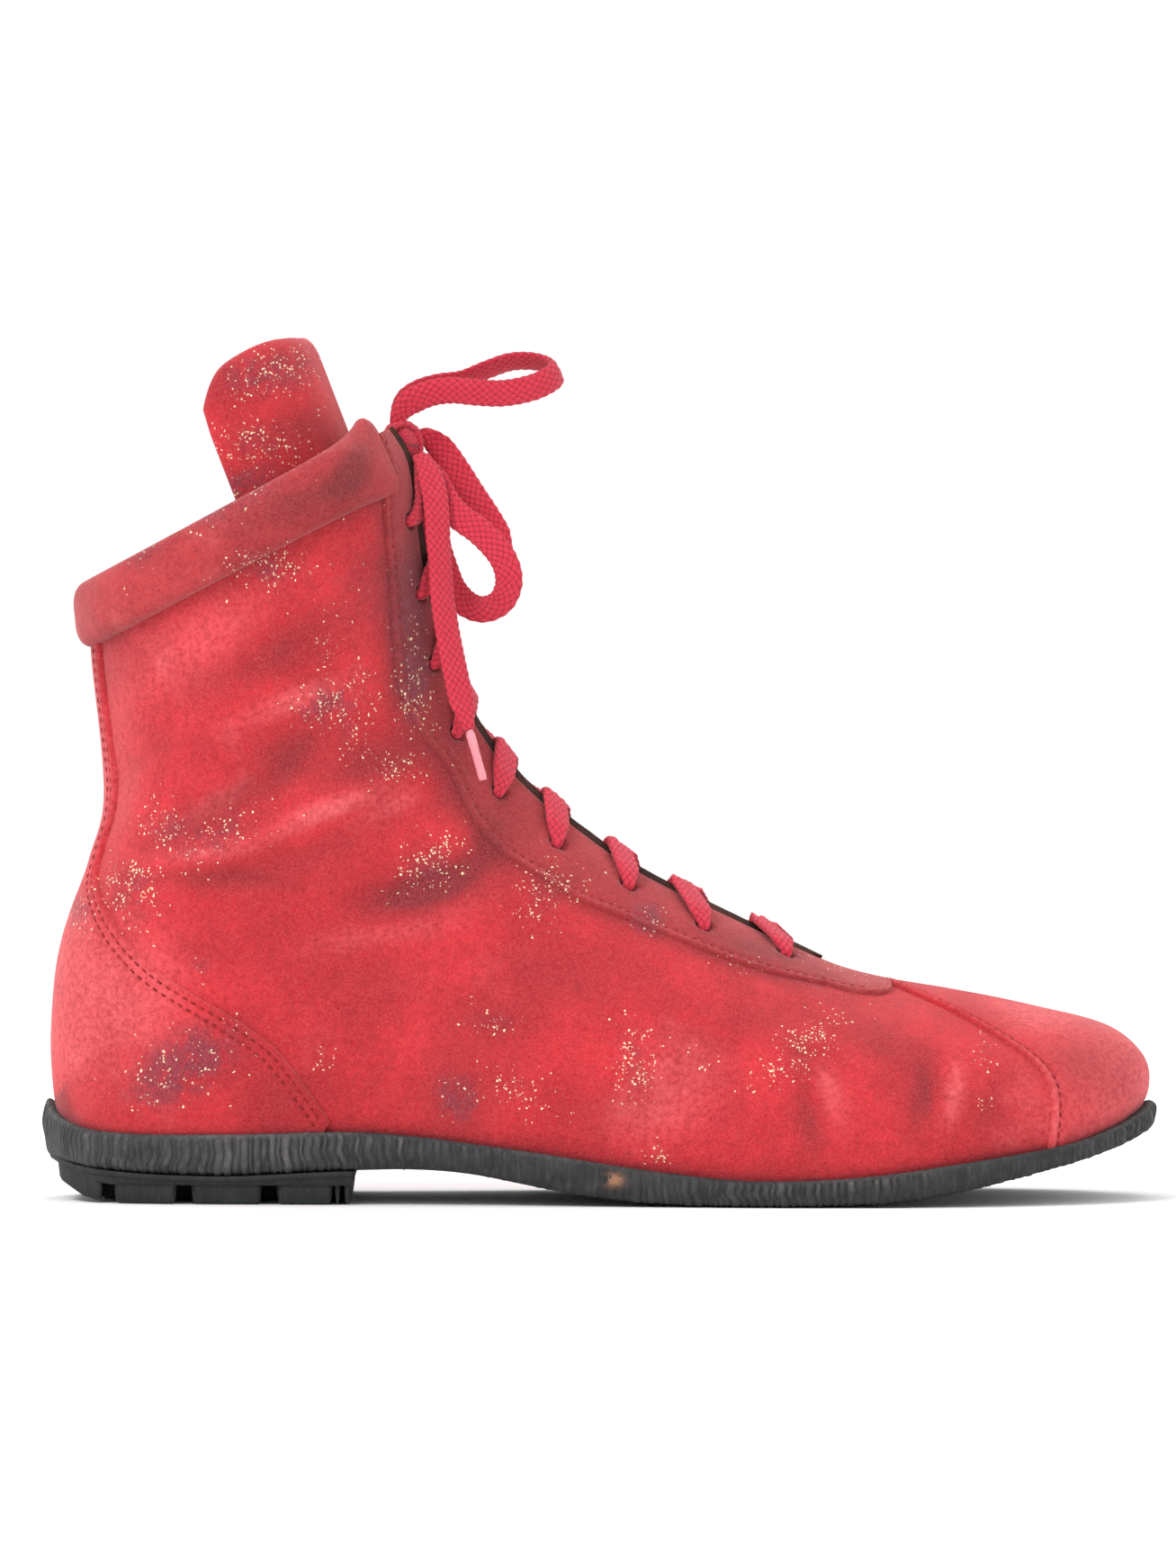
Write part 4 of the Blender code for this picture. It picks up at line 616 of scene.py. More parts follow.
def suede(name, bright, deep, pale, dull):
    """Brushed suede: mottled nap, purple stains with pale flakes, grime, painted shade in the folds and
    painted light on their crests.
    """
    n = Nodes(name, Roughness=0.95, Sheen_Weight=0.35, Sheen_Roughness=0.45, Specular_IOR_Level=0.15)
    n.shader.inputs["Sheen Tint"].default_value = (1.0, 0.55, 0.55, 1)
    stain, glitter, grime_and_shade, light = n.wear_and_shading()
    broad, medium = n.noise(26, 3), n.noise(7, 4, 0.65)
    nap, fibre = n.noise(1.5, 4, 0.75), n.noise(0.5, 3, 0.7)
    base = n.mix(n.range(broad, 0.32, 0.70), deep, bright)
    base = n.mix(n.range(medium, 0.35, 0.75, 0.0, 0.45), base, deep)
    # Paleness with painted light, then grime with painted shade, mixed in from the painted channels.
    light = n.math("ADD", light, n.range(n.noise(18, 3), 0.52, 0.8, 0.0, 0.35))
    lightened = n.math("MULTIPLY", light, n.range(nap, 0.2, 0.75, 0.5, 1.2))
    base = n.mix(n.range(lightened, 0.0, 1.0, 0.0, 0.75), base, pale)
    grime_and_shade = n.math("ADD", grime_and_shade, n.range(n.noise(15, 4, 0.7), 0.56, 0.85, 0.0, 0.4))
    base = n.mix(n.math("MULTIPLY", grime_and_shade, n.range(nap, 0.2, 0.8, 0.75, 1.15), clamp=True), base, dull)
    ragged = n.math("MULTIPLY", stain, n.range(n.noise(4.5, 5, 0.75), 0.28, 0.62, 0.2, 1.35))
    base = n.mix(n.range(ragged, 0.12, 1.0, 0.0, 0.78), base, colour(104, 52, 66))
    base = n.mix(n.range(fibre, 0.30, 0.75, 0.0, 0.30), base, pale)
    base = n.mix(n.range(nap, 0.25, 0.60, 0.38, 0.0), base, dull)
    flakes, random = flake_mask(n, 0.86)
    density = n.math("MULTIPLY", glitter, n.range(n.noise(3.4, 4, 0.7), 0.40, 0.60, 0.04, 1.5))
    lit = n.math("MULTIPLY", flakes, n.math("GREATER_THAN", n.math("MULTIPLY", density, 0.95), random))
    gold = n.mix(n.noise(2.2, 2), colour(250, 236, 205), colour(206, 178, 128))
    base = n.mix(lit, base, gold)
    height = n.math("ADD", n.math("MULTIPLY", nap, 0.55), n.math("MULTIPLY", fibre, 0.45))
    bump = n.bump(height, 0.55, 0.8, n.bump(n.noise(5, 3), 0.5, 0.5))
    return n.finish(base, n.range(lit, 0, 1, 0.95, 0.42), bump)


def flake_mask(n, size):
    """Small ragged flakes and a random number for each."""
    cell = n.add("ShaderNodeTexVoronoi", feature="F1")
    cell.inputs["Scale"].default_value = 1000 / size
    warped = n.add("ShaderNodeVectorMath", operation="ADD")
    wobble = n.add("ShaderNodeTexNoise")
    wobble.inputs["Scale"].default_value = 1500
    n.link(n.place, wobble.inputs["Vector"])
    scaled = n.add("ShaderNodeVectorMath", operation="SCALE")
    n.link(wobble.outputs["Color"], scaled.inputs[0])
    scaled.inputs["Scale"].default_value = 0.0012
    n.link(n.place, warped.inputs[0])
    n.link(scaled.outputs[0], warped.inputs[1])
    n.link(warped.outputs[0], cell.inputs["Vector"])
    split = n.add("ShaderNodeSeparateColor")
    n.link(cell.outputs["Color"], split.inputs["Color"])
    reach = n.math("MULTIPLY", n.math("ADD", split.outputs["Green"], 0.8), 0.23)
    return n.math("LESS_THAN", cell.outputs["Distance"], reach), split.outputs["Red"]


def lace_material():
    """A diamond braid of red thread with a little fuzz."""
    n = Nodes("lace", Roughness=0.8, Sheen_Weight=0.3, Sheen_Roughness=0.5, Specular_IOR_Level=0.25)
    n.shader.inputs["Sheen Tint"].default_value = (1.0, 0.6, 0.65, 1)
    uv = n.add("ShaderNodeUVMap", uv_map="along").outputs["UV"]
    split = n.add("ShaderNodeSeparateXYZ")
    n.link(uv, split.inputs[0])
    u, v = split.outputs["X"], split.outputs["Y"]
    wave = []
    steep, slant = math.pi / BRAID_PITCH, math.pi / (BRAID_BREADTH / 2)
    for along, across in ((steep, slant), (steep, -slant), (9.0, 6.0)):
        phase = n.math("ADD", n.math("MULTIPLY", u, along), n.math("MULTIPLY", v, across))
        wave.append(n.math("ABSOLUTE", n.math("SINE", phase)))
    cell, threads = n.math("MULTIPLY", wave[0], wave[1]), wave[2]
    fuzz = n.noise(0.45, 3, 0.7)
    base = n.mix(n.range(cell, 0.0, 0.45), colour(160, 20, 40), colour(214, 44, 68))
    base = n.mix(n.range(threads, 0.0, 0.8, 0.3, 0.0), base, colour(176, 16, 40))
    base = n.mix(n.range(fuzz, 0.35, 0.8, 0.0, 0.3), base, colour(240, 110, 126))
    fine = n.math("ADD", n.math("MULTIPLY", threads, 0.22), n.math("MULTIPLY", fuzz, 0.3))
    height = n.math("ADD", n.math("MULTIPLY", cell, 0.5), fine)
    return n.finish(base, bump=n.bump(height, 0.5, 0.8))


def aglet_material():
    """Pale red plastic, scratched here and there."""
    n = Nodes("aglet", Roughness=0.22, IOR=1.49, Subsurface_Weight=0.3)
    base = n.mix(n.noise(3.0, 3), colour(240, 150, 160), colour(228, 118, 134))
    return n.finish(base, n.range(n.noise(1.2), 0, 1, 0.18, 0.34), n.bump(n.noise(0.9), 0.08, 0.5))


def rubber_material():
    """Black rubber: grey streaks, painted highlights on the ridges, painted shade in the grooves with the
    heel's darkening, and a brown scuff.
    """
    n = Nodes("rubber", Specular_IOR_Level=0.35)
    scuff, _, groove, ridge = n.wear_and_shading()
    broad, grain = n.noise(9, 4, 0.7), n.noise(0.7, 4, 0.7)
    streak = n.noise(2.4, 4, 0.7, (1.6, 1.6, 0.25))
    base = n.mix(n.range(broad, 0.3, 0.75), colour(40, 41, 43), colour(66, 67, 69))
    base = n.mix(n.range(streak, 0.45, 0.72, 0.0, 0.5), base, colour(100, 100, 100))
    base = n.mix(n.range(n.noise(5.5, 5, 0.75), 0.66, 0.80, 0.0, 0.55), base, colour(118, 96, 80))
    # Painted highlights on the ribs' crests and the lip, then painted shade in the grooves; the heel's
    # darkening comes through the same channel.
    raised = n.math("MULTIPLY", ridge, n.range(streak, 0.3, 0.7, 0.4, 1.1), clamp=True)
    base = n.mix(raised, base, colour(132, 130, 126))
    base = n.mix(groove, base, colour(20, 20, 22))
    torn = n.math("MULTIPLY", scuff, n.range(n.noise(2.4, 4, 0.7), 0.38, 0.55), clamp=True)
    base = n.mix(torn, base, colour(156, 112, 84))
    base = n.mix(n.range(grain, 0.3, 0.6, 0.4, 0.0), base, colour(26, 26, 28))
    height = n.math("ADD", n.math("MULTIPLY", streak, 0.6), n.math("MULTIPLY", grain, 0.35))
    return n.finish(base, n.range(grain, 0.2, 0.8, 0.55, 0.85), n.bump(height, 0.45, 0.7))


def leather_material(name, dark, light, grain):
    """Leather with pores about grain mm apart."""
    n = Nodes(name, Specular_IOR_Level=0.35)
    cell = n.add("ShaderNodeTexVoronoi", feature="DISTANCE_TO_EDGE")
    cell.inputs["Scale"].default_value = 1000 / grain
    n.link(n.place, cell.inputs["Vector"])
    pores = n.range(cell.outputs["Distance"], 0.0, 0.18)
    base = n.mix(n.range(n.noise(12, 4, 0.7), 0.3, 0.75), dark, light)
    base = n.mix(n.range(pores, 0.0, 1.0, 0.45, 0.0), base, dark)
    height = n.math("ADD", n.math("MULTIPLY", pores, 0.7), n.math("MULTIPLY", n.noise(0.4, 3), 0.4))
    return n.finish(base, n.range(n.noise(4), 0.2, 0.8, 0.52, 0.75), n.bump(height, 0.25, 0.6))


def plain_material(name, dark, light, size, roughness, metallic=0.0):
    """For pieces inside the boot: two tones, grain and a fine bump."""
    n = Nodes(name, Metallic=metallic)
    base = n.mix(n.range(n.noise(size, 4, 0.7), 0.3, 0.7), dark, light)
    rough = n.range(n.noise(size / 3), 0.2, 0.8, roughness - 0.08, roughness + 0.08)
    return n.finish(base, rough, n.bump(n.noise(size / 6, 3, 0.7), 0.25, 0.6))


def thread_material():
    """Dark red sewing thread."""
    n = Nodes("thread", Roughness=0.6, Specular_IOR_Level=0.3)
    base = n.mix(n.range(n.noise(1.2, 3), 0.3, 0.7), colour(104, 12, 20), colour(176, 34, 42))
    return n.finish(base, bump=n.bump(n.noise(0.25, 2, 0.5, (1, 1, 3)), 0.1, 0.6))


RED, DEEP, PALE, DULL = colour(206, 44, 52), colour(172, 30, 40), colour(232, 108, 112), colour(112, 32, 38)
SUEDE = suede("suede", RED, DEEP, PALE, DULL)
WORN = suede(
    "suede_worn", colour(182, 52, 58), colour(150, 36, 44), colour(214, 108, 108), colour(96, 34, 38)
)
LACE, THREAD, RUBBER, AGLET = lace_material(), thread_material(), rubber_material(), aglet_material()
FACING = leather_material("facing", colour(44, 22, 18), colour(92, 52, 40), 0.9)
LINING = leather_material("lining", colour(84, 44, 36), colour(128, 76, 62), 1.3)
INNER = {
    "foam": plain_material("foam", colour(214, 206, 186), colour(238, 232, 216), 1.6, 0.9),
    "board": plain_material("board", colour(134, 108, 76), colour(176, 148, 110), 3.0, 0.85),
    "steel": plain_material("steel", colour(120, 120, 124), colour(168, 168, 172), 6.0, 0.35, 1.0),
    "stiffener": plain_material("stiffener", colour(170, 152, 126), colour(200, 184, 158), 2.0, 0.8),
}


# ---------------------------------------------------------------- upper pieces
def rows_between(low, high, step):
    """Evenly spaced rows, about a step apart."""
    return np.linspace(low, high, max(3, round((high - low) / step) + 1))


ROW_STEP = detail(0.17, 0.085)
SIDE_SPAN, COLUMN_STEP = 125, detail(2.6, 1.3)
STAY_BREADTH = 24.0      # the eyestay's columns are laid out over this breadth, mm
LINING_DEPTH, LINING_THICK = -2.9, 1.2
SEAM_SHADE = 0.55        # painted shade on the suede beside the eyestay and under the collar


def sole_line(r, g):
    """Grime just over the sole's lip, and a painted shadow line where the suede meets it."""
    edge = place(r, np.where(np.asarray(g) < 0, -1.0, 1.0))
    high = place(r, g)[..., 2] - edge[..., 2] - LIP_HEIGHT
    grime_and_shade = 0.3 * np.clip(1 - high / 5.0, 0, 1) + 0.5 * np.clip(1 - high / 1.6, 0, 1)
    return grime_and_shade * (np.asarray(r) < 10.2)


def quarter(side, word):
    """The side panel, from under the toe cap to the collar seam."""
    rows = np.concatenate([rows_between(0.90, 2.0, 0.05)[:-1], rows_between(2.0, 15.1, ROW_STEP)])
    count = round(SIDE_SPAN / COLUMN_STEP)
    r, c = np.meshgrid(rows, np.linspace(0, 1, count), indexing="ij")
    inner = np.maximum(0.0, 0.72 * eyestay_share(np.maximum(r, 1.0)))
    share = inner + (0.9995 - inner) * c
    points = surface(r, side * share)
    faces = grid_faces(*r.shape)
    if side == LATERAL:
        faces = [face[::-1] for face in faces]
    piece = mesh_piece(f"quarter_{word}_suede", points.reshape(-1, 3), faces, SUEDE)
    base = place(r, side * share)
    # Painted shade under the collar and beside the eyestay's seam, with the sole line's grime and painted
    # shadow.
    near_collar = np.clip((r - 14.55) / 0.5, 0, 1) * SEAM_SHADE
    near_seam = np.exp(-((share - eyestay_share(r)) * 60 / 2.2) ** 2) * SEAM_SHADE * (r > 2)
    grime_and_shade = near_collar + near_seam + sole_line(r, side * share)
    paint(piece, wear_and_shading(base, grime_and_shade.ravel()))
    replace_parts(piece, f"quarter_{word}")


# An overlay's folded edge: distance from its sewn edge, and height over the base suede, mm.
EDGE_PROFILE = [
    (0.0, -0.25), (0.06, 0.6), (0.3, 1.3), (0.8, 1.72), (1.4, 1.5), (2.0, 1.22), (2.7, 1.42), (3.6, 1.5),
]


def edge_columns(width):
    """Distances from an overlay's sewn edge and their depths, to a total width in mm."""
    inner = np.arange(4.6, max(width - 0.4, 4.7), detail(2.2, 0.95))
    return [d for d, _ in EDGE_PROFILE] + list(inner), [z for _, z in EDGE_PROFILE] + [OVERLAY] * len(inner)


def eyelet_dimples(points, centres):
    """Dents round the punched eyelets, and painted shade in them."""
    dent, dark = np.zeros(points.shape[:-1]), np.zeros(points.shape[:-1])
    for centre in centres:
        distance = np.linalg.norm(points - centre, axis=-1)
        dent += 2.3 * np.exp(-((distance / 1.9) ** 4)) - 0.25 * np.exp(-(((distance - 3.2) / 1.1) ** 2))
        dark += 0.9 * np.exp(-((distance / 2.5) ** 2))
    return dent, dark


def eyelet_place(index, side):
    """Row and signed angular fraction of an eyelet, from its place in the side view."""
    x, z = EYELETS[index]
    rows = np.arange(2.0, 17.0, 0.02)
    row = spline(STATIONS, rows + 6)
    start, span = row[:, [0, 1]], row[:, [2, 3]] - row[:, [0, 1]]
    p = ((np.array([x, z]) - start) * span).sum(1) / (span**2).sum(1)
    miss = np.linalg.norm(start + span * p[:, None] - [x, z], axis=1) + np.where(p > 0, 0, 1e3)
    k = int(miss.argmin())
    turn = math.radians(min(row[k, 7], 180))
    return rows[k], side * math.acos(1 - p[k] * (1 - math.cos(turn))) / turn


EYELET_PLACES = {(i, side): eyelet_place(i, side) for i in range(len(EYELETS)) for side in (LATERAL, MEDIAL)}


def eyestay():
    """The U-shaped lace stay: a folded, stitched outer edge, a raw lacing edge, punched eyelets."""
    front = 1 + (1 - np.cos(np.linspace(0.08, math.pi / 2, 16)))
    rows = np.concatenate([front[:-1], rows_between(2.0, 17.0, ROW_STEP)])
    distances, depths = edge_columns(STAY_BREADTH)
    distances = np.array(distances + [STAY_BREADTH] * 3)
    depths = np.array(depths + [1.35, 0.8, 0.1])
    inset = np.zeros(len(distances))
    inset[-3:] = (0.25, 0.02, 0.0)
    halves, wear_and_shading_rows = [], []
    for side in (LATERAL, MEDIAL):
        centres = [place(*EYELET_PLACES[i, side]) for i in range(len(EYELETS))]
        r = np.repeat(rows[:, None], len(distances), 1)
        outer = side * eyestay_share(r)
        edge = slit_share(r, side)
        scale = mm_per_share(np.maximum(r, 1.2), outer * 0.7)
        total = np.abs(outer - edge) * scale
        share = np.clip(distances / STAY_BREADTH, 0, 1)
        share = np.where(distances < 4, distances / np.maximum(total, 9.0), share)
        ahead = np.maximum.accumulate(share, axis=1) - inset / np.maximum(total, 9.0)
        g = outer + (edge - outer) * np.clip(ahead, 0, 1)
        base = place(r, g)
        dent, dark = eyelet_dimples(base, centres)
        level = np.broadcast_to(depths, r.shape) - dent
        closing = np.clip((r - 16.93) / 0.07, 0, 1)
        level = level - closing * np.where(depths > 1, 0.9, 0.0)
        slit = (r < 2.001) & (np.arange(len(distances)) > len(distances) - 4)
        level = np.where(slit, OVERLAY, level)
        halves.append(surface(r, g, level, 0.45))
        # Darker towards the top and along the lacing edge, with painted shade in the eyelets; paler along the
        # folded edge and at the front.
        dull = 0.16 + 0.16 * np.clip((r - 6) / 4, 0, 1)
        rim = 0.25 * (np.arange(len(distances)) > len(distances) - 5) * (r > 2)
        light = 0.35 * np.exp(-(((distances - 0.8) / 0.5) ** 2)) + 0.5 * np.clip(2.2 - r, 0, 1)
        wear_and_shading_rows.append(wear_and_shading(base, (dull + rim + dark).ravel(), (light + 0 * r).ravel()).reshape(*r.shape, 4))
    lateral, medial = halves
    whole = np.concatenate([lateral, medial[:, ::-1]], axis=1)
    painted = np.concatenate([wear_and_shading_rows[0], wear_and_shading_rows[1][:, ::-1]], axis=1)
    columns = whole.shape[1]
    middle = columns // 2 - 1
    faces = grid_faces(len(rows), columns, skip=lambda i, j: j == middle and rows[i] >= 1.999)
    piece = mesh_piece("eyestay_suede", whole.reshape(-1, 3), faces, WORN)
    paint(piece, painted.reshape(-1, 4))
    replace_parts(piece, "eyestay")


def facing(side, word):
    """Two dark leather plies under the eyestay, raw along the lacing edge."""
    points, faces = [], []
    rows = rows_between(2.15, 16.98, ROW_STEP)
    for top, bottom, proud, curl in ((0.55, -0.15, 1.5, 1.9), (-0.35, -1.15, 2.3, 1.7)):
        back = curl * 0.35
        profile = [
            (9.0, top), (4.0, top), (proud, top + 0.1), (proud / 2, top + back), (0.25, top + curl),
            (0.0, (top + bottom) / 2 + curl), (0.4, bottom + curl), (proud / 2 + 0.2, bottom + back),
            (proud, bottom), (4.0, bottom), (9.0, bottom),
        ]
        start = len(points)
        for r in rows:
            edge = float(slit_share(r, side))
            scale = float(mm_per_share(r, edge))
            ragged = 0.3 * noise.noise(Vector((r * 9.0, side, top)))
            for d, depth in profile:
                g = edge + side * (d - proud - ragged) / scale
                points.append(surface(np.array(r), np.array(g), depth, 0.45))
        faces += tube_faces(len(rows), len(profile), start)
    piece = mesh_piece(f"facing_{word}_leather", points, faces, FACING)
    fix_normals(piece)
    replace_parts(piece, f"facing_{word}")


def row_gap(g):
    """Millimetres to a row just behind the toe cap's seam."""
    return np.linalg.norm(place(1.0, g) - place(0.9, g), axis=-1) / 0.1


def toe_cap():
    """The cap over the toe, with a folded edge along its curved seam."""
    g = np.linspace(-0.9995, 0.9995, detail(80, 150))
    gap = row_gap(g)
    points, painted = [], []
    for r in np.linspace(0.012, 0.93, detail(30, 60)):
        points.append(surface(r, g, OVERLAY))
        painted.append(wear_and_shading(place(r, g), sole_line(r, g)))
    for distance, depth in reversed(EDGE_PROFILE):
        r = 1.0 - distance / gap
        points.append(surface(r, g, depth))
        pale = 0.45 * math.exp(-(((distance - 0.7) / 0.5) ** 2))
        painted.append(wear_and_shading(place(r, g), 0.25 if 1.7 < distance < 2.2 else 0.0, pale))
    shape = (len(points), len(g))
    piece = mesh_piece("toe_cap_suede", np.concatenate(points), grid_faces(*shape), SUEDE)
    paint(piece, np.concatenate(painted))
    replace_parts(piece, "toe_cap")


def counter():
    """Heel counter and back strip in one piece, folded and double stitched."""
    rows = rows_between(6.42, 15.1, ROW_STEP)
    inner = np.linspace(0.16, 1.0, detail(14, 26))
    distances = [d for d, _ in EDGE_PROFILE]
    points, painted = [], []
    for r in rows:
        line = []
        for side in (LATERAL, MEDIAL):
            seam = side * float(np.interp(r, COUNTER_ROWS, COUNTER_SHARES))
            scale = float(mm_per_share(r, seam * 0.98))
            total = (1 - abs(seam)) * scale
            squeeze = min(1.0, total / 7.0)
            g = [seam + side * d * squeeze / scale for d in distances]
            tail = [g[-1] + (side * 0.9999 - g[-1]) * c for c in inner]
            depth = [level for _, level in EDGE_PROFILE] + [OVERLAY] * len(tail)
            both = list(zip(g + tail, depth))
            line += both if side == LATERAL else both[::-1]
        g, levels = np.array(line).T
        centre_line = np.abs(np.abs(g) - 1) < 2e-4
        points.append(surface(r, g, levels, 0.7))
        # Painted shade under the collar, a darker back seam, and the sole line's grime and painted shadow.
        collar_shade = np.clip((r - 14.6) / 0.5, 0, 1) * 0.5
        painted.append(wear_and_shading(place(r, g), collar_shade + 0.1 * centre_line + sole_line(r, g)))
    shape = (len(rows), len(points[0]))
    faces = [face[::-1] for face in grid_faces(*shape)]
    piece = mesh_piece("counter_suede", np.concatenate(points), faces, SUEDE)
    paint(piece, np.concatenate(painted))
    fix_normals(piece)
    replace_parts(piece, "counter_patch")


def lining(word, r_values, g_of):
    """A smooth leather layer under the upper, closed round its rim."""
    r, c = np.meshgrid(r_values, np.linspace(0, 1, detail(45, 90)), indexing="ij")
    g = g_of(r, c)
    layers = [place(r, g) + normal(r, g) * d for d in (LINING_DEPTH, LINING_DEPTH - LINING_THICK)]
    rows, columns = r.shape
    faces = grid_faces(rows, columns) + [f[::-1] for f in grid_faces(rows, columns, start=rows * columns)]
    rim = [(i, 0) for i in range(rows)] + [(rows - 1, j) for j in range(1, columns)]
    rim += [(i, columns - 1) for i in range(rows - 2, -1, -1)] + [(0, j) for j in range(columns - 2, 0, -1)]
    index = [i * columns + j for i, j in rim]
    under = [k + rows * columns for k in index]
    for k in range(len(index)):
        m = (k + 1) % len(index)
        faces.append((index[k], under[k], under[m], index[m]))
    points = np.concatenate([layer.reshape(-1, 3) for layer in layers])
    piece = mesh_piece(f"lining_{word}_leather", points, faces, LINING)
    fix_normals(piece)
    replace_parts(piece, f"lining_{word}")


def linings():
    """The two side linings and the lining of the vamp."""
    for side, word in SIDES:
        def g_of(r, c, side=side):
            start = 0.8 * eyestay_share(r)
            return side * (start + (0.9993 - start) * c)
        lining(word, rows_between(2.02, 15.0, 2 * ROW_STEP), g_of)
    lining("vamp", np.linspace(0.02, 1.95, 40), lambda r, c: -0.999 + 1.998 * c)


# ---------------------------------------------------------------- tongue
TONGUE_OUT, TONGUE_IN, TONGUE_SINK = -5.0, -10.6, 6.0
TONGUE_END = 16.35       # the row where the tongue meets its free top
FLAP_THICK = 5.4
FLAP_TURN = 88           # how far round the ankle the free top reaches to either side, degrees
FLAP_HELD_BELOW = 0.196  # the free top's foot, m, which the cloth simulation leaves alone


def tongue():
    """The padded tongue under the laces: a closed pad with rounded sides."""
    rows = rows_between(1.6, TONGUE_END, ROW_STEP * 1.5)
    angles = circle(72)
    breadth, lift = squarish(angles, 0.55, 0.4)
    mid, half = (TONGUE_OUT + TONGUE_IN) / 2, (TONGUE_OUT - TONGUE_IN) / 2
    points = []
    for r in rows:
        reach = float(eyestay_share(max(r, 1.9))) * 0.98
        if r < 2.4:
            reach *= math.sqrt(max(0.02, 1 - ((2.4 - r) / 0.85) ** 2))
        ends = math.sqrt(max(0.03, 1 - max(0.0, (r - (TONGUE_END - 0.25)) / 0.26) ** 2))
        sink = TONGUE_SINK * min(1.0, max(0.0, (r - 13) / 4)) ** 1.3
        depth = mid + half * lift * ends - sink
        base = place(r, breadth * reach)
        puff = 0.5 * smooth_noise(base, 9.0, 5.0) * (lift > 0)
        points.append(base + normal(r, breadth * reach) * (depth + puff)[:, None])
    faces = tube_faces(len(rows), len(angles))
    piece = mesh_piece("tongue_pad", np.concatenate(points), faces, [SUEDE, LINING])
    fix_normals(piece)
    piece.data.polygons.foreach_set("material_index", inward_faces(piece))
    paint_by_place(piece, 0.35)
    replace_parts(piece, "tongue_face", "tongue_foam", "tongue_lining")


SHAFT_MIDDLE = Vector((-95.0, 0.0, 150.0))
SHAFT_FOOT = 110         # height from which the shaft's middle counts as inside


def inward_faces(piece):
    """1 for faces that look into the boot, 0 for the rest."""
    flags = []
    for face in piece.data.polygons:
        centre = face.center / MM
        inside = SHAFT_MIDDLE if centre.z > SHAFT_FOOT else Vector((centre.x - 30, 0.0, 20.0))
        flags.append(int(face.normal.dot(inside - centre) > 0.25 * (inside - centre).length))
    return flags


def paint_by_place(piece, grime_and_shade=0.0, pale=0.0):
    """Paint wear and painted shading on a piece by where its points are."""
    co = np.array([vert.co for vert in piece.data.vertices]) / MM
    paint(piece, wear_and_shading(co, grime_and_shade, pale))


def flap_surface(across, up, depth):
    """The tongue's free top: across -1 to 1, up 0 to 1, depth in mm inwards (negative)."""
    angle = across * math.radians(FLAP_TURN)
    low = HINGE[2] / MM - 4.0 - 14.0 * across**2
    rounded = np.maximum(0.0, np.abs(across) - 0.80) / 0.20
    sloping = np.maximum(0.0, np.abs(across) - 0.35)
    high = TONGUE_TOP - 15.0 * sloping**2 / 0.42 - 7.0 * rounded**2
    z = low + (high - low) * up
    front = HINGE[0] / MM + 4.2 - TONGUE_LEAN * (z - HINGE[2] / MM)
    x = front - (TONGUE_WRAP + depth) * (1 - np.cos(angle)) + depth
    y = (TONGUE_REACH + depth) * np.sin(angle)
    return np.stack([x, y, z], -1)


def flap():
    """The padded free top of the tongue, a pillow inflated as cloth."""
    rings, around = detail((26, 60), (40, 96))
    profile_across, lift = squarish(circle(around), 0.35, 0.55)
    points = []
    for up in np.linspace(0, 1, rings):
        closing = 1 - max(0.0, (up - 0.86) / 0.14) ** 2
        depth = FLAP_THICK / 2 * (lift * math.sqrt(max(0.04, closing)) - 1)
        across = profile_across * (0.99 - 0.05 * max(0.0, up - 0.8))
        points.append(flap_surface(across, np.full(around, up), depth))
    faces = grid_faces(rings, around, closed=True)
    last = (rings - 1) * around
    half = around // 2
    for start, flip in ((0, False), (last, True)):
        for k in range(half):
            a, b = start + k, start + k + 1
            c, d = start + (around - k - 1) % around, start + (around - k) % around
            quad = list(dict.fromkeys((a, b, c, d)))
            if len(quad) > 2:
                faces.append(tuple(quad[::-1] if flip else quad))
    looks = [SUEDE, LINING]
    piece = mesh_piece("tongue_flap_pad", np.concatenate(points), faces, looks, body=None)
    fix_normals(piece)
    inflate(piece, lambda co: co.z < FLAP_HELD_BELOW, 1.6, 2.2)
    edit_mesh(piece, smooth_once, smooth_once)
    piece.data.polygons.foreach_set("material_index", inward_faces(piece))
    paint_by_place(piece, 0.08, 0.05)
    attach(piece, FLAP)
    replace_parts(piece, "tongue_flap_face", "tongue_flap_foam", "tongue_flap_lining")


CLOTH_STEPS = 20


def inflate(piece, pinned, pressure, cap):
    """Blow a pad up a little as cloth, moving no point more than cap, mm."""
    scene = bpy.context.scene
    group = piece.vertex_groups.new(name="held")
    start = [vert.co.copy() for vert in piece.data.vertices]
    held = [vert.index for vert in piece.data.vertices if pinned(vert.co)]
    group.add(held, 1.0, "REPLACE")
    cloth = piece.modifiers.new("cloth", "CLOTH")
    settings = cloth.settings
    settings.vertex_group_mass = "held"
    settings.use_pressure = True
    settings.uniform_pressure_force = pressure
    settings.quality = 4
    settings.mass = 0.15
    settings.tension_stiffness = settings.compression_stiffness = 12
    settings.bending_stiffness = 0.3
    settings.effector_weights.gravity = 0
    cloth.point_cache.frame_end = CLOTH_STEPS
    for step in range(1, CLOTH_STEPS + 1):
        scene.frame_set(step)
    depsgraph = bpy.context.evaluated_depsgraph_get()
    moved = [vert.co.copy() for vert in piece.evaluated_get(depsgraph).data.vertices]
    piece.modifiers.remove(cloth)
    scene.frame_set(1)
    for vert, before, after in zip(piece.data.vertices, start, moved):
        step = after - before
        length = step.length
        if length > 0:
            vert.co = before + step * min(1.0, cap * MM / length)
    piece.data.update()


# ---------------------------------------------------------------- collar
COLLAR_LENGTH = 240.0                     # about, along the roll from end to end
COLLAR_OUT, COLLAR_IN = 4.9, 7.2          # how far the roll stands out and in from its middle


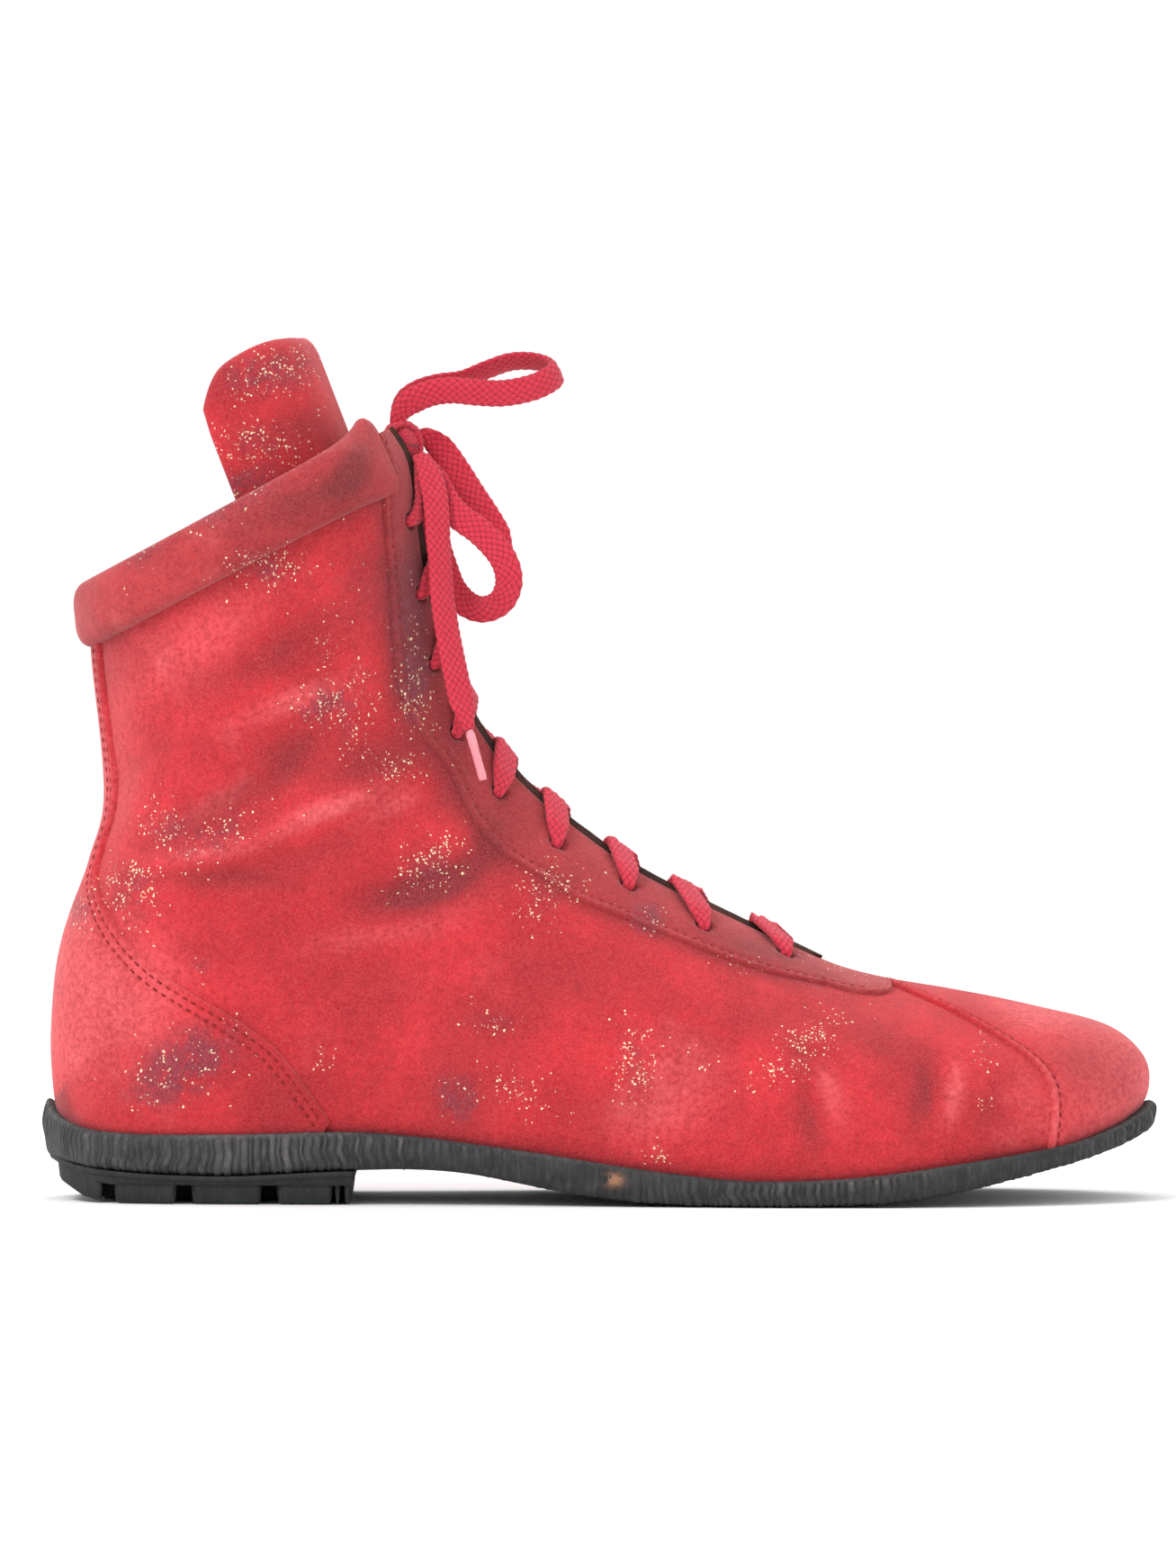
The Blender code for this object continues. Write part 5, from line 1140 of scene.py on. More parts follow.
def collar():
    """The padded roll round the top, taller where it meets the eyestay."""
    around, steps = detail((30, 90), (44, 200))
    start = float(eyestay_share(16.0)) * 0.93
    g = np.concatenate([np.linspace(-start, -1, steps), np.linspace(1, start, steps)[1:]])
    length_left = np.minimum(np.arange(len(g)), np.arange(len(g))[::-1]) * (COLLAR_LENGTH / len(g))
    low, high = place(15.0, g), place(17.0, g)
    out = normal(15.5, g)
    up = high - low
    tall = np.linalg.norm(up, axis=1, keepdims=True)
    up = up / tall
    out -= up * (out * up).sum(1, keepdims=True)
    out = unit(out)
    flare = np.exp(-length_left / 9.0)[:, None]
    centre = (low + high) / 2 + up * (1.2 * flare) + up * 0.8
    half = tall / 2 + 1.2 + 3.2 * flare
    thin = 1 - 0.35 * flare
    fuller = squarish(np.linspace(-math.pi, math.pi, around + 1)[:-1], 0.78, 0.78)
    reach = np.where(fuller[0] > 0, COLLAR_OUT, COLLAR_IN)
    points = centre[:, None] + out[:, None] * (reach * fuller[0])[None, :, None] * thin[:, None]
    points = points + up[:, None] * fuller[1][None, :, None] * half[:, None]
    for end in (0, -1):
        points[end] = points[end].mean(0) + (points[end] - points[end].mean(0)) * 0.75
    dent = 0.5 * smooth_noise(points, 16.0, 2.0) + 0.3 * smooth_noise(points, 7.0, 8.0)
    points = points + out[:, None] * (dent * fuller[0][None])[..., None]
    piece = mesh_piece(
        "collar_pad", points.reshape(-1, 3), tube_faces(len(g), around), [WORN, LINING], body=None,
    )
    fix_normals(piece)
    inflate(piece, collar_is_held(low), 0.8, 1.0)
    edit_mesh(piece, smooth_once)
    # Painted shade on the roll's underside.
    grime_and_shade = 0.05 + 0.35 * np.clip(-fuller[1], 0, 1) ** 6
    paint(piece, wear_and_shading(points.reshape(-1, 3), np.tile(grime_and_shade, len(g)), 0.10))
    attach(piece, BOOT)
    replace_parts(piece, "collar_cover", "collar_foam")


def collar_is_held(seam):
    """True for points near the collar's sewn lower edge."""
    line = seam * MM

    def held(co):
        return float(np.min(np.linalg.norm(line - np.array(co), axis=1))) < 0.0045
    return held


# ---------------------------------------------------------------- stitches
STITCH_RINGS = ((0.45, -0.18), (0.95, 0.06), (1.0, 0.12), (0.95, 0.06), (0.45, -0.18))


def stitches(name, points, out):
    """A row of separate stitches lying along a line of points."""
    travelled = travel(points)
    verts, faces = [], []
    ring, rings = 6, len(STITCH_RINGS)
    for start in np.arange(0.4, travelled[-1] - STITCH_LENGTH, STITCH_PITCH):
        centres = [
            np.array([np.interp(stop, travelled, points[:, k]) for k in range(3)])
            for stop in np.linspace(start, start + STITCH_LENGTH, rings)
        ]
        middle = int(np.searchsorted(travelled, start + STITCH_LENGTH / 2).clip(0, len(out) - 1))
        up = out[middle]
        side = np.cross(unit(centres[-1] - centres[0]), up)
        base = len(verts)
        for centre, (bulge, rise) in zip(centres, STITCH_RINGS):
            for a in circle(ring):
                offset = (side * math.cos(a) * 1.2 + up * math.sin(a)) * STITCH_RADIUS * bulge
                verts.append(centre + up * rise + offset)
        last = base + (rings - 1) * ring
        faces += grid_faces(rings, ring, closed=True, start=base)
        faces += [tuple(range(base + ring - 1, base - 1, -1)), tuple(range(last, last + ring))]
    mesh_piece(name, verts, faces, THREAD)


def seam_stitches():
    """Rows of stitches along the eyestay, the counter's two seams and the toe cap."""
    for side, word in SIDES:
        rows = np.arange(1.6, 16.9, 0.04)
        seam = side * eyestay_share(rows)
        scale = mm_per_share(rows, seam)
        g = seam - side * 2.0 / scale
        stitches(f"stitch_eyestay_{word}", surface(rows, g, 1.27, 0.45), normal(rows, g))
        rows = np.arange(6.5, 15.0, 0.02)
        seam = side * np.interp(rows, COUNTER_ROWS, COUNTER_SHARES)
        scale = mm_per_share(rows, seam * 0.98)
        total = (1 - np.abs(seam)) * scale
        squeeze = np.minimum(1, total / 7)
        for number, distance in ((1, 2.0), (2, 4.4)):
            keep = total > distance + 1.2
            g = (seam + side * distance * squeeze / scale)[keep]
            level = 1.27 if number == 1 else 1.5
            row = rows[keep]
            stitches(f"stitch_counter_{word}_{number}", surface(row, g, level, 0.7), normal(row, g))
    g = np.linspace(-0.99, 0.99, 400)
    r = 1.0 - 2.0 / row_gap(g)
    stitches("stitch_toe_cap", surface(r, g, 1.27), normal(r, g))


# ---------------------------------------------------------------- laces
def ribbon_mesh(name, points, sides, widths, thickness):
    """A braided flat lace along points, mm: soft edges and a raised diamond braid."""
    sides = np.asarray(sides)
    tangent = unit(np.gradient(points, axis=0))
    sides = unit(sides - tangent * (sides * tangent).sum(1, keepdims=True))
    up = np.cross(tangent, sides)
    around = detail(16, 28)
    angles = circle(around)
    across, lift = squarish(angles, 0.62, 0.85)
    v = across[None] * widths[:, None] / 2
    u = travel(points)[:, None] + 0 * v
    leaning = [np.abs(np.sin(np.pi * (u / BRAID_PITCH + lean * v / BRAID_BREADTH))) for lean in (1, -1)]
    braid = leaning[0] * leaning[1]
    thick = thickness / 2 * lift[None] * (0.86 + 0.34 * braid)
    edge = 1 + 0.03 * np.sin(2 * np.pi * u / BRAID_PITCH)
    verts = points[:, None] + sides[:, None] * (v * edge)[..., None] + up[:, None] * thick[..., None]
    shift = np.where(np.sin(angles) >= 0, 0.0, 40.0)
    uvs = np.stack([u + shift, v], -1)
    faces = tube_faces(len(points), around)
    piece = mesh_piece(name, verts.reshape(-1, 3), faces, LACE, uvs=uvs.reshape(-1, 2))
    fix_normals(piece)
    return piece


def even_points(route, spacing):
    """Points read every spacing mm from a smooth curve through the route's rows."""
    route = np.asarray(route, float)
    fine = spline(route, np.linspace(0, len(route) - 1, 16 * len(route)))
    travelled = travel(fine[:, :3])
    stops = np.linspace(0, travelled[-1], max(4, round(travelled[-1] / spacing)) + 1)
    return np.stack([np.interp(stops, travelled, fine[:, k]) for k in range(fine.shape[1])], 1)


def carried_sides(points, first, twists):
    """Breadth directions carried along a route without spin, then turned by the twist table."""
    ahead = np.gradient(points, axis=0)
    tangents = [Vector(v).normalized() for v in ahead]
    side = Vector(first)
    side = (side - tangents[0] * side.dot(tangents[0])).normalized()
    sides = []
    for k, tangent in enumerate(tangents):
        if k:
            side = tangents[k - 1].rotation_difference(tangent) @ side
        twist = math.radians(float(np.interp(k / (len(points) - 1), *zip(*twists))))
        sides.append(np.array(Quaternion(tangent, twist) @ side))
    return sides


LACE_STEP = detail(1.1, 0.55)
GATHER = 8.0                              # a lace is narrow this far from its ends, mm


def free_lace(name, route, first, twists, narrow_end=0.5):
    """A free stretch of lace. Returns its piece, its points and its length in metres."""
    points = even_points(route, LACE_STEP)
    share = np.linspace(0, 1, len(points))
    length = float(travel(points)[-1])
    near_start, near_end = (np.minimum(part * length / GATHER, 1) for part in (share, 1 - share))
    widths = LACE_WIDTH * np.minimum(0.5 + 0.5 * near_start, narrow_end + (1 - narrow_end) * near_end)
    piece = ribbon_mesh(name, points, carried_sides(points, first, twists), widths, LACE_THICK)
    return piece, points, length * MM


def bow():
    """The bow's two loops and its two hanging ends with their tips."""
    loops = (
        ("upper", UPPER_LOOP, (1, 0, 0), [(0, 0), (1, 0)]),
        ("lower", LOWER_LOOP, (0.7, 0, 0.7), [(0, 0), (0.5, 0), (0.75, 70), (0.92, 80), (1, 60)]),
    )
    for word, route, first, twists in loops:
        piece, points, length = free_lace(f"bow_{word}", route, first, twists)
        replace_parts(piece, f"bow_loop_{word}")
    ends = (
        ("lateral", LATERAL_END, (1, 0, 0.4), [(0, -20), (0.4, -40), (1, -30)]),
        ("medial", MEDIAL_END, (0, 0, 1), [(0, 0), (1, 0)]),
    )
    for word, route, first, twists in ends:
        piece, points, length = free_lace(f"lace_tail_{word}", route, first, twists, 0.42)
        sheath = aglet(word, points[-1])
        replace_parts(piece, f"lace_end_{word}")


def aglet(word, tip):
    """A crimped plastic sheath on a lace end."""
    direction = unit(np.array(AGLET_DIRECTIONS[word]))
    side = unit(np.cross(direction, (0.3, 1.0, 0.1)))
    up = np.cross(direction, side)
    rings, around = 26, 20
    verts = []
    for f in np.linspace(0, 1, rings):
        radius = AGLET_RADIUS * (1 + 0.05 * math.sin(f * 7.0))
        if f < 0.06 or f > 0.95:
            radius *= 0.86
        crimp = 0.12 if 0.35 < f < 0.5 else 0.04
        for a in circle(around):
            squash = 1 - crimp * math.cos(2 * a)
            offset = side * math.cos(a) * radius * squash + up * math.sin(a) * radius * 0.86
            verts.append(tip + direction * (f * AGLET_LENGTH + 0.1) + offset)
    piece = mesh_piece(f"aglet_{word}_sheath", verts, tube_faces(rings, around), AGLET)
    fix_normals(piece)
    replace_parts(piece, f"aglet_{word}")
    return piece


def lace_stop(r, y, depth, width):
    """A stop of the lacing at row r and breadth y: its point, the row's direction and a width."""
    g = float(share_at(r, y))
    point = place(r, g) + normal(r, g) * depth
    return (*point, *unit(place(min(r + 0.05, 17), g) - place(r - 0.05, g)), width)


def strand(index, side, following):
    """Stops of one strand: out of an eyelet, over the edge, across, under the other side."""
    r, g = EYELET_PLACES[index, side]
    r_next, g_next = EYELET_PLACES[following, -side]
    y, y_next = place(r, g)[1], place(r_next, g_next)[1]
    ridge = float(spline(STATIONS, r + 6)[4])
    edge = abs(place(r, slit_share(r, side))[1] - ridge)
    edge_next = abs(place(r_next, slit_share(r_next, -side))[1] - ridge)
    near, far = side * edge, -side * edge_next
    if side == LATERAL:
        dive, rise = [(0.74, 3.0, 0.95), (0.56, -1.4, 0.8), (0.35, -3.4, 0.75), (0.0, -3.5, 0.75)], -3.4
    else:
        dive, rise = [(0.74, 3.6, 0.95), (0.56, 1.5, 0.8), (0.35, 0.1, 0.75), (0.0, -0.8, 0.75)], -0.9
    stops = [
        (y + (ridge - y) * 0.10, 2.9, 0.72), (y + (ridge - y) * 0.24, 3.5, 0.95),
        (ridge + near - side * 0.4, 3.6, 1.0),
    ]
    stops += [(ridge + near * share, depth, width) for share, depth, width in dive]
    stops += [
        (ridge + far * 0.5, rise, 0.75), (ridge + far * 0.8, (rise - 2.7) / 2, 0.9),
        (ridge + far - side * 1.0, -2.7, 0.9), (y_next + (ridge - y_next) * 0.16, -2.7, 0.6),
    ]
    rows = []
    for breadth, depth, share in stops:
        f = (breadth - y) / (y_next - y)
        width = LACE_WIDTH * (0.42 + 0.58 * (share - 0.5) * 2)
        rows.append(lace_stop(r + (r_next - r) * f, breadth, depth, width))
    return rows


def through_eyelet(index, side):
    """Stops of a strand that comes up through an eyelet."""
    r, g = EYELET_PLACES[index, side]
    y = place(r, g)[1]
    return [lace_stop(r, y, depth, LACE_WIDTH * 0.42) for depth in (-2.0, -0.6, 0.8, 1.9)]


def to_knot(side):
    """Stops of a strand from its top eyelet to the knot."""
    r, g = EYELET_PLACES[0, side]
    y = place(r, g)[1]
    stops = ((0.84, 0.12, 3.2, 4.8), (0.66, 0.6, 3.2, 6.0), (0.45, 1.45, 2.4, 5.0))
    rows = [lace_stop(r + climb, y * share, depth, width) for share, climb, depth, width in stops]
    near = KNOT + np.array([-0.6, side * 3.8, -5.6])
    rows.append((*near, *rows[-1][3:6], 3.6))
    return rows


def lacing():
    """The laced stretch: two strands zigzag from the lowest eyelets to the knot."""
    last = len(EYELETS) - 1
    strands = []
    for first_side in (LATERAL, MEDIAL):
        route, side = [], first_side
        for index in range(last, 0, -1):
            route += through_eyelet(index, side) + strand(index, side, index - 1)
            side = -side
        strands.append(route + through_eyelet(0, side) + to_knot(side))
    r, g = EYELET_PLACES[last, LATERAL]
    y, other = place(r, g)[1], place(*EYELET_PLACES[last, MEDIAL])[1]
    bar = [lace_stop(r, y + (other - y) * share, -3.2, 4.0) for share in (0.25, 0.5, 0.75)]
    rows = even_points(list(reversed(strands[0])) + bar + strands[1], LACE_STEP)
    piece = ribbon_mesh("lacing", rows[:, :3], rows[:, 3:6], rows[:, 6], LACED_THICK)
    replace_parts(piece, "lace_laced")


def knot():
    """The bow's knot: a wrap of lace round a bundled core."""
    turn = circle(13)
    wrap = [(4.7 * math.cos(a), 1.2 + 0.25 * math.sin(2 * a), 0.8 + 5.4 * math.sin(a)) for a in turn]
    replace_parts(knot_turn("knot_wrap", wrap, (0.12, 1.0, 0.1), 6.0), "lace_knot")
    knot_core()
    for number, (tilt, offset) in enumerate(((28, -2.6), (-24, 3.4))):
        c, s = math.cos(math.radians(tilt)), math.sin(math.radians(tilt))
        band = []
        for a in turn:
            x, z = 5.0 * math.cos(a), 0.8 + 5.8 * math.sin(a)
            band.append((x * c, offset + x * s * 0.8, z))
        knot_turn(f"knot_band_{number}", band, (-s, c, 0.1), 4.6)


def knot_turn(name, stops, side, width):
    """One turn of lace about the knot's centre, through stops given from there."""
    stops = [KNOT + np.array(stop) for stop in stops]
    points = even_points(stops + stops[:2], LACE_STEP)
    count = len(points)
    return ribbon_mesh(name, points, np.tile(side, (count, 1)), np.full(count, width), 1.6)


def knot_core():
    """The bundled strands that the wrap holds together."""
    around, rings = 24, 18
    points, uvs = [], []
    for k in range(rings):
        tall = math.pi * (k + 0.5) / rings
        for a in circle(around):
            lump = 1 + 0.08 * math.sin(3 * a + 4 * tall) + 0.05 * math.sin(7 * tall)
            out = np.array([5.0 * math.cos(a), 0.0, 6.3 * math.sin(a)]) * math.sin(tall) ** 0.8
            points.append(KNOT + np.array([0.0, 0.6 + 5.8 * math.cos(tall), 1.2]) + out * lump)
            uvs.append((8.0 * tall, 4.0 * a))
    fix_normals(mesh_piece("knot_core", points, tube_faces(rings, around), LACE, uvs=uvs))


# ---------------------------------------------------------------- sole
def loop_points():
    """The upper's lower edge as a dense closed loop with outward plan normals, mm."""
    rows = np.linspace(0.0, 10.0, 900)
    loop = np.concatenate([place(rows, -1.0), place(rows, 1.0)[::-1][1:-1]])
    fine = eased(even_points(np.concatenate([loop, loop[:1]])[::6], detail(0.6, 0.32))[:-1], 30)
    along = np.roll(fine, -1, 0) - np.roll(fine, 1, 0)
    out = unit(np.stack([along[:, 1], -along[:, 0], 0 * along[:, 0]], 1))
    if (out * (fine - fine.mean(0))).sum() < 0:
        out = -out
    return fine, unit(eased(out, 40))


def wall_reach(loop, out):
    """How far out the sole's wall has to stand to clear the overlays beside it."""
    r, g = np.meshgrid(np.arange(0, 13, 0.12), np.linspace(0.7, 1.0, 12), indexing="ij")
    toe = np.meshgrid(np.arange(0.0, 0.6, 0.04), np.linspace(-0.7, 0.7, 20), indexing="ij")
    patches = ((r, -g), (r, g), toe)
    skin = np.concatenate([(place(*at) + normal(*at) * OVERLAY).reshape(-1, 3) for at in patches])
    reach = np.full(len(loop), OVERLAY)
    for k, (point, normal_out) in enumerate(zip(loop, out)):
        away = skin - point
        close = (np.abs(away[:, 2]) < LIP_HEIGHT + 0.4) & (np.linalg.norm(away[:, :2], axis=1) < 9)
        if close.any():
            side = np.abs(away[close] @ np.array([-normal_out[1], normal_out[0], 0.0])) < 3
            if side.any():
                reach[k] = max(reach[k], (away[close][side] @ normal_out).max())
    for _ in range(200):
        reach = np.maximum(reach, (np.roll(reach, 1) + np.roll(reach, -1)) / 2)
    return eased(reach, 60) + 0.15


def height_on(table, x):
    """Height at x of the line through a table's (x, z) points."""
    xs, zs = zip(*table)
    return np.interp(x, xs, zs)


def smooth_foot(x):
    """Height of the sole's underside, the table eased over its corners."""
    return sum(height_on(WALL_FOOT, x + shift) for shift in (-6, -3, 0, 3, 6)) / 5


def ribs(travelled, total):
    """Irregular upright ribs round the wall, 0 in a groove and 1 on a rib."""
    count = int(total / RIB_PITCH)
    widths = dice.uniform(0.55, 1.6, count)
    edges = np.concatenate([[0], np.cumsum(widths)]) * total / widths.sum()
    heights = dice.uniform(0.45, 1.0, count)
    k = np.clip(np.searchsorted(edges, travelled, side="right") - 1, 0, count - 1)
    to_edge = np.minimum(travelled - edges[k], edges[k + 1] - travelled).clip(0)
    return heights[k] * (1 - np.exp(-((to_edge / RIB_GROOVE) ** 1.6)))


# The wall's section: distance out, share of the wall's height, and how far it is ribbed.
WALL_PROFILE = [
    (-6.5, 0.80, 0.0), (-2.6, 0.93, 0.0), (-0.4, 0.985, 0.0), (0.5, 1.03, 0.0), (1.3, 1.045, 0.0),
    (2.0, 1.01, 0.15), (2.5, 0.95, 0.6), (2.8, 0.90, 1.0), (2.95, 0.84, 1.0), (3.05, 0.76, 1.0),
    (3.1, 0.68, 1.0), (3.1, 0.60, 1.0), (3.05, 0.52, 1.0), (2.95, 0.44, 1.0), (2.8, 0.36, 1.0),
    (2.6, 0.28, 1.0), (2.35, 0.20, 1.0), (2.0, 0.12, 0.9), (1.55, 0.05, 0.7), (1.0, 0.0, 0.45),
    (0.0, -0.015, 0.0), (-2.5, -0.015, 0.0), (-6.0, -0.01, 0.0),
]
# A brown scuff on the lateral side of the wall.
SCUFF_X, SCUFF_Z, SCUFF_LONG, SCUFF_HIGH = 5.0, 7.2, 2.2, 1.6


def outsole(loop, out, reach):
    """The cup sole's wall with its crinkled ribs, its lip and its underside."""
    steps = np.linalg.norm(np.roll(loop, -1, 0) - loop, axis=1)
    travelled = np.concatenate([[0], np.cumsum(steps)[:-1]])
    total = float(steps.sum())
    foot, top = smooth_foot(loop[:, 0]), loop[:, 2] + LIP_HEIGHT
    tall = top - foot
    rows, painted = [], []
    # Painted shade on the wall, rising from the heel towards the arch and forefoot.
    shaded = 0.45 * np.clip((loop[:, 0] + 95) / 60, 0, 1)
    pattern = ribs(travelled, total)
    for offset, share, ribbed in WALL_PROFILE:
        shift = 1.6 * (0.5 - share) + 0.5 * math.sin(9 * share)
        level = ribs_at(pattern, travelled, shift, total)
        wobble = 0.16 * np.sin(travelled / 3.1 + 9 * share) * ribbed
        fading = 0.55 + 0.45 * np.sin(travelled / 19.0 + 2.2 * share)
        away = reach + offset + ribbed * (RIB_DEPTH * fading * (level - 0.75) + wobble)
        place_row = loop + out * away[:, None]
        place_row[:, 2] = foot + tall * share
        if offset > -1:
            place_row[:, 2] += 0.7 * (1 - level) * max(0.0, 1 - abs(share) / 0.12)
        rows.append(place_row)
        # Painted shade in the rib grooves and on the front of the wall, a brown scuff, and painted highlights
        # on the ribs' crests and along the lip.
        groove = np.maximum(ribbed * np.clip(1 - 2.2 * level, 0, 1) * 0.85, shaded)
        beside, above = (loop[:, 0] - SCUFF_X) / SCUFF_LONG, (place_row[:, 2] - SCUFF_Z) / SCUFF_HIGH
        torn = np.exp(-(beside**2 + above**2)) * (loop[:, 1] < 0)
        ridge = ribbed * np.clip(level - 0.45, 0, 1) * (0.1 + 1.5 * max(0.0, share)) * fading
        rim = 0.45 * math.exp(-(((share - 1.0) / 0.06) ** 2)) * (0.6 + 0.4 * np.sin(travelled / 13.0))
        painted.append(np.stack([1.3 * torn, 0 * groove, groove, np.maximum(ridge, rim)], -1))
    points = np.concatenate(rows)
    count = len(loop)
    faces = grid_faces(len(rows), count, closed=True)
    points, cap = fill_under(points, (len(rows) - 1) * count, count)
    piece = mesh_piece("outsole_rubber", points, faces + cap, RUBBER)
    scuff_and_shading = np.zeros((len(points), 4))
    scuff_and_shading[:len(rows) * count] = np.concatenate(painted)
    paint(piece, scuff_and_shading)
    edit_mesh(piece, face_outward)
    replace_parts(piece, "outsole")


def ribs_at(level, travelled, shift, total):
    """The rib pattern moved along the wall by shift mm, as the ribs lean."""
    drift = shift * np.sin(travelled / 17.0)
    closed_line, closed_level = np.append(travelled, total), np.append(level, level[0])
    return np.interp((travelled + drift) % total, closed_line, closed_level)


def fill_under(points, start, count):
    """Faces across the underside, from the last ring in to its middle line."""
    ring = points[start:start + count]
    rings, faces = [points], []
    previous = start
    total = len(points)
    for pull in (0.55, 0.25, 0.0):
        inner = ring.copy()
        inner[:, 1] = ring[:, 1] * pull
        inner[:, 0] = ring[:, 0] * (0.93 + 0.07 * pull)
        rings.append(inner)
        for k in range(count):
            m = (k + 1) % count
            faces.append((previous + k, previous + m, total + m, total + k))
        previous = total
        total += count
    return np.concatenate(rings), faces


# Where each lug starts and ends along the boot; the last two are narrow bars.
LUGS = (
    (-146.2, -133.4), (-130.2, -113.3), (-109.4, -90.4), (-86.4, -71.3), (-70.8, -69.2), (-68.3, -66.5),
)
LUG_WEB = 16.0                            # the grooves between the lugs stop this far from the middle
LUG_TOP, LEDGE_FLOOR = 5.6, 5.0           # the lugs reach a little up into the base above them
HEEL_FRONT = -65.4
HEEL_DARK = 0.65                          # how far the heel's rubber is darkened


def heel_edges(loop, out, reach):
    """The heel's side lines, lateral and medial, each in order of x, and its rear end."""
    outline = (loop + out * (reach + 1.5)[:, None])[loop[:, 0] < -62]
    sides = {}
    for side, rows in ((LATERAL, outline[outline[:, 1] < 0]), (MEDIAL, outline[outline[:, 1] >= 0])):
        sides[side] = rows[np.argsort(rows[:, 0])]
    return sides, float(outline[:, 0].min())


# Rings up a block of the heel: share of its height, and how far the ring is drawn in, mm.
BLOCK_RINGS = [(0.0, 0.7), (0.12, 0.15), (0.5, 0.0), (0.9, 0.0), (1.0, 0.5)]


def heel_block(points, faces, edges, span, floor, roof, inset, taper, widest=99.0):
    """Add a slice of the heel with rounded corners over a span of x, from floor(x) to roof(x)."""
    sides, rear_x = edges
    steps = 26
    xs = np.linspace(*span, steps)
    start = len(points)
    for share, tuck in BLOCK_RINGS:
        for side, order in ((LATERAL, xs), (MEDIAL, xs[::-1])):
            for x in order:
                corner = 1.2 * (1 - min(1.0, min(x - span[0], span[1] - x) / 1.6)) ** 2
                y = float(np.interp(max(x, rear_x + 0.6), sides[side][:, 0], sides[side][:, 1]))
                drawn_in = inset + tuck + taper * (1 - share) + corner
                y = np.sign(y) * min(widest, max(0.5, abs(y) - drawn_in))
                squeeze = min(tuck + 0.35 * (1 - share), 0.3 * (span[1] - span[0]))
                x_here = np.clip(x, span[0] + squeeze, span[1] - squeeze)
                base = floor(x_here)
                points.append((x_here, y, base + (roof(x_here) - base) * share))
    count = 2 * steps
    faces += grid_faces(len(BLOCK_RINGS), count, closed=True, start=start)
    for ring in (start, start + (len(BLOCK_RINGS) - 1) * count):
        for k in range(steps - 1):
            faces.append((ring + k, ring + k + 1, ring + count - k - 2, ring + count - k - 1))


def heel(loop, out, reach):
    """A rubber heel: a smooth base with a ledge, four lugs and two narrow bars at its front."""
    edges = heel_edges(loop, out, reach)
    rear_x = edges[1]
    points, faces = [], []

    def under(x):
        return float(smooth_foot(x)) - 0.15

    def over_ground(height):
        return lambda x: height + heel_lift(x)

    def add(*settings, **more):
        heel_block(points, faces, edges, *settings, **more)

    add((rear_x + 1.0, HEEL_FRONT - 0.2), over_ground(LEDGE_FLOOR), lambda x: under(x) - 0.4, 0.0, 0.3)
    add((rear_x + 0.4, HEEL_FRONT + 0.2), lambda x: under(x) - 1.5, under, -0.7, 0.0)
    for low, high in LUGS:
        add((max(low, rear_x + 1.6), high), heel_lift, over_ground(LUG_TOP), 0.9, 1.0)
    for (_, before), (after, _) in zip(LUGS, LUGS[1:]):
        span = (before - 0.7, after + 0.7)
        add(span, over_ground(0.5), over_ground(LUG_TOP - 0.2), 0.9, 1.0, widest=LUG_WEB)
    piece = mesh_piece("heel_rubber", points, faces, RUBBER)
    fix_normals(piece)
    paint(piece, np.tile((0.0, 0.0, HEEL_DARK, 0.0), (len(piece.data.vertices), 1)))
    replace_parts(piece, "heel_block")


def heel_lift(x):
    """The rearmost lug curves up off the floor."""
    return float(np.interp(x, (-148, -144, -139, -133), (7.0, 4.6, 1.6, 0.0)))


def insole(loop, out):
    """The footbed seen down inside the boot: a dished pad with a soft edge."""
    rows = []
    for offset, height in ((-5.8, 2.2), (-5.2, 3.2), (-5.4, 4.3), (-6.6, 5.2), (-12.0, 5.4)):
        ring = loop + out * offset
        ring[:, 2] = loop[:, 2] + height
        rows.append(ring[::4])
    points = np.concatenate(rows)
    count = len(rows[0])
    faces = grid_faces(len(rows), count, closed=True)
    points, cap = fill_under(points, (len(rows) - 1) * count, count)
    piece = mesh_piece("footbed_pad", points, faces + cap, LINING)
    fix_normals(piece)
    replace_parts(piece, "footbed")


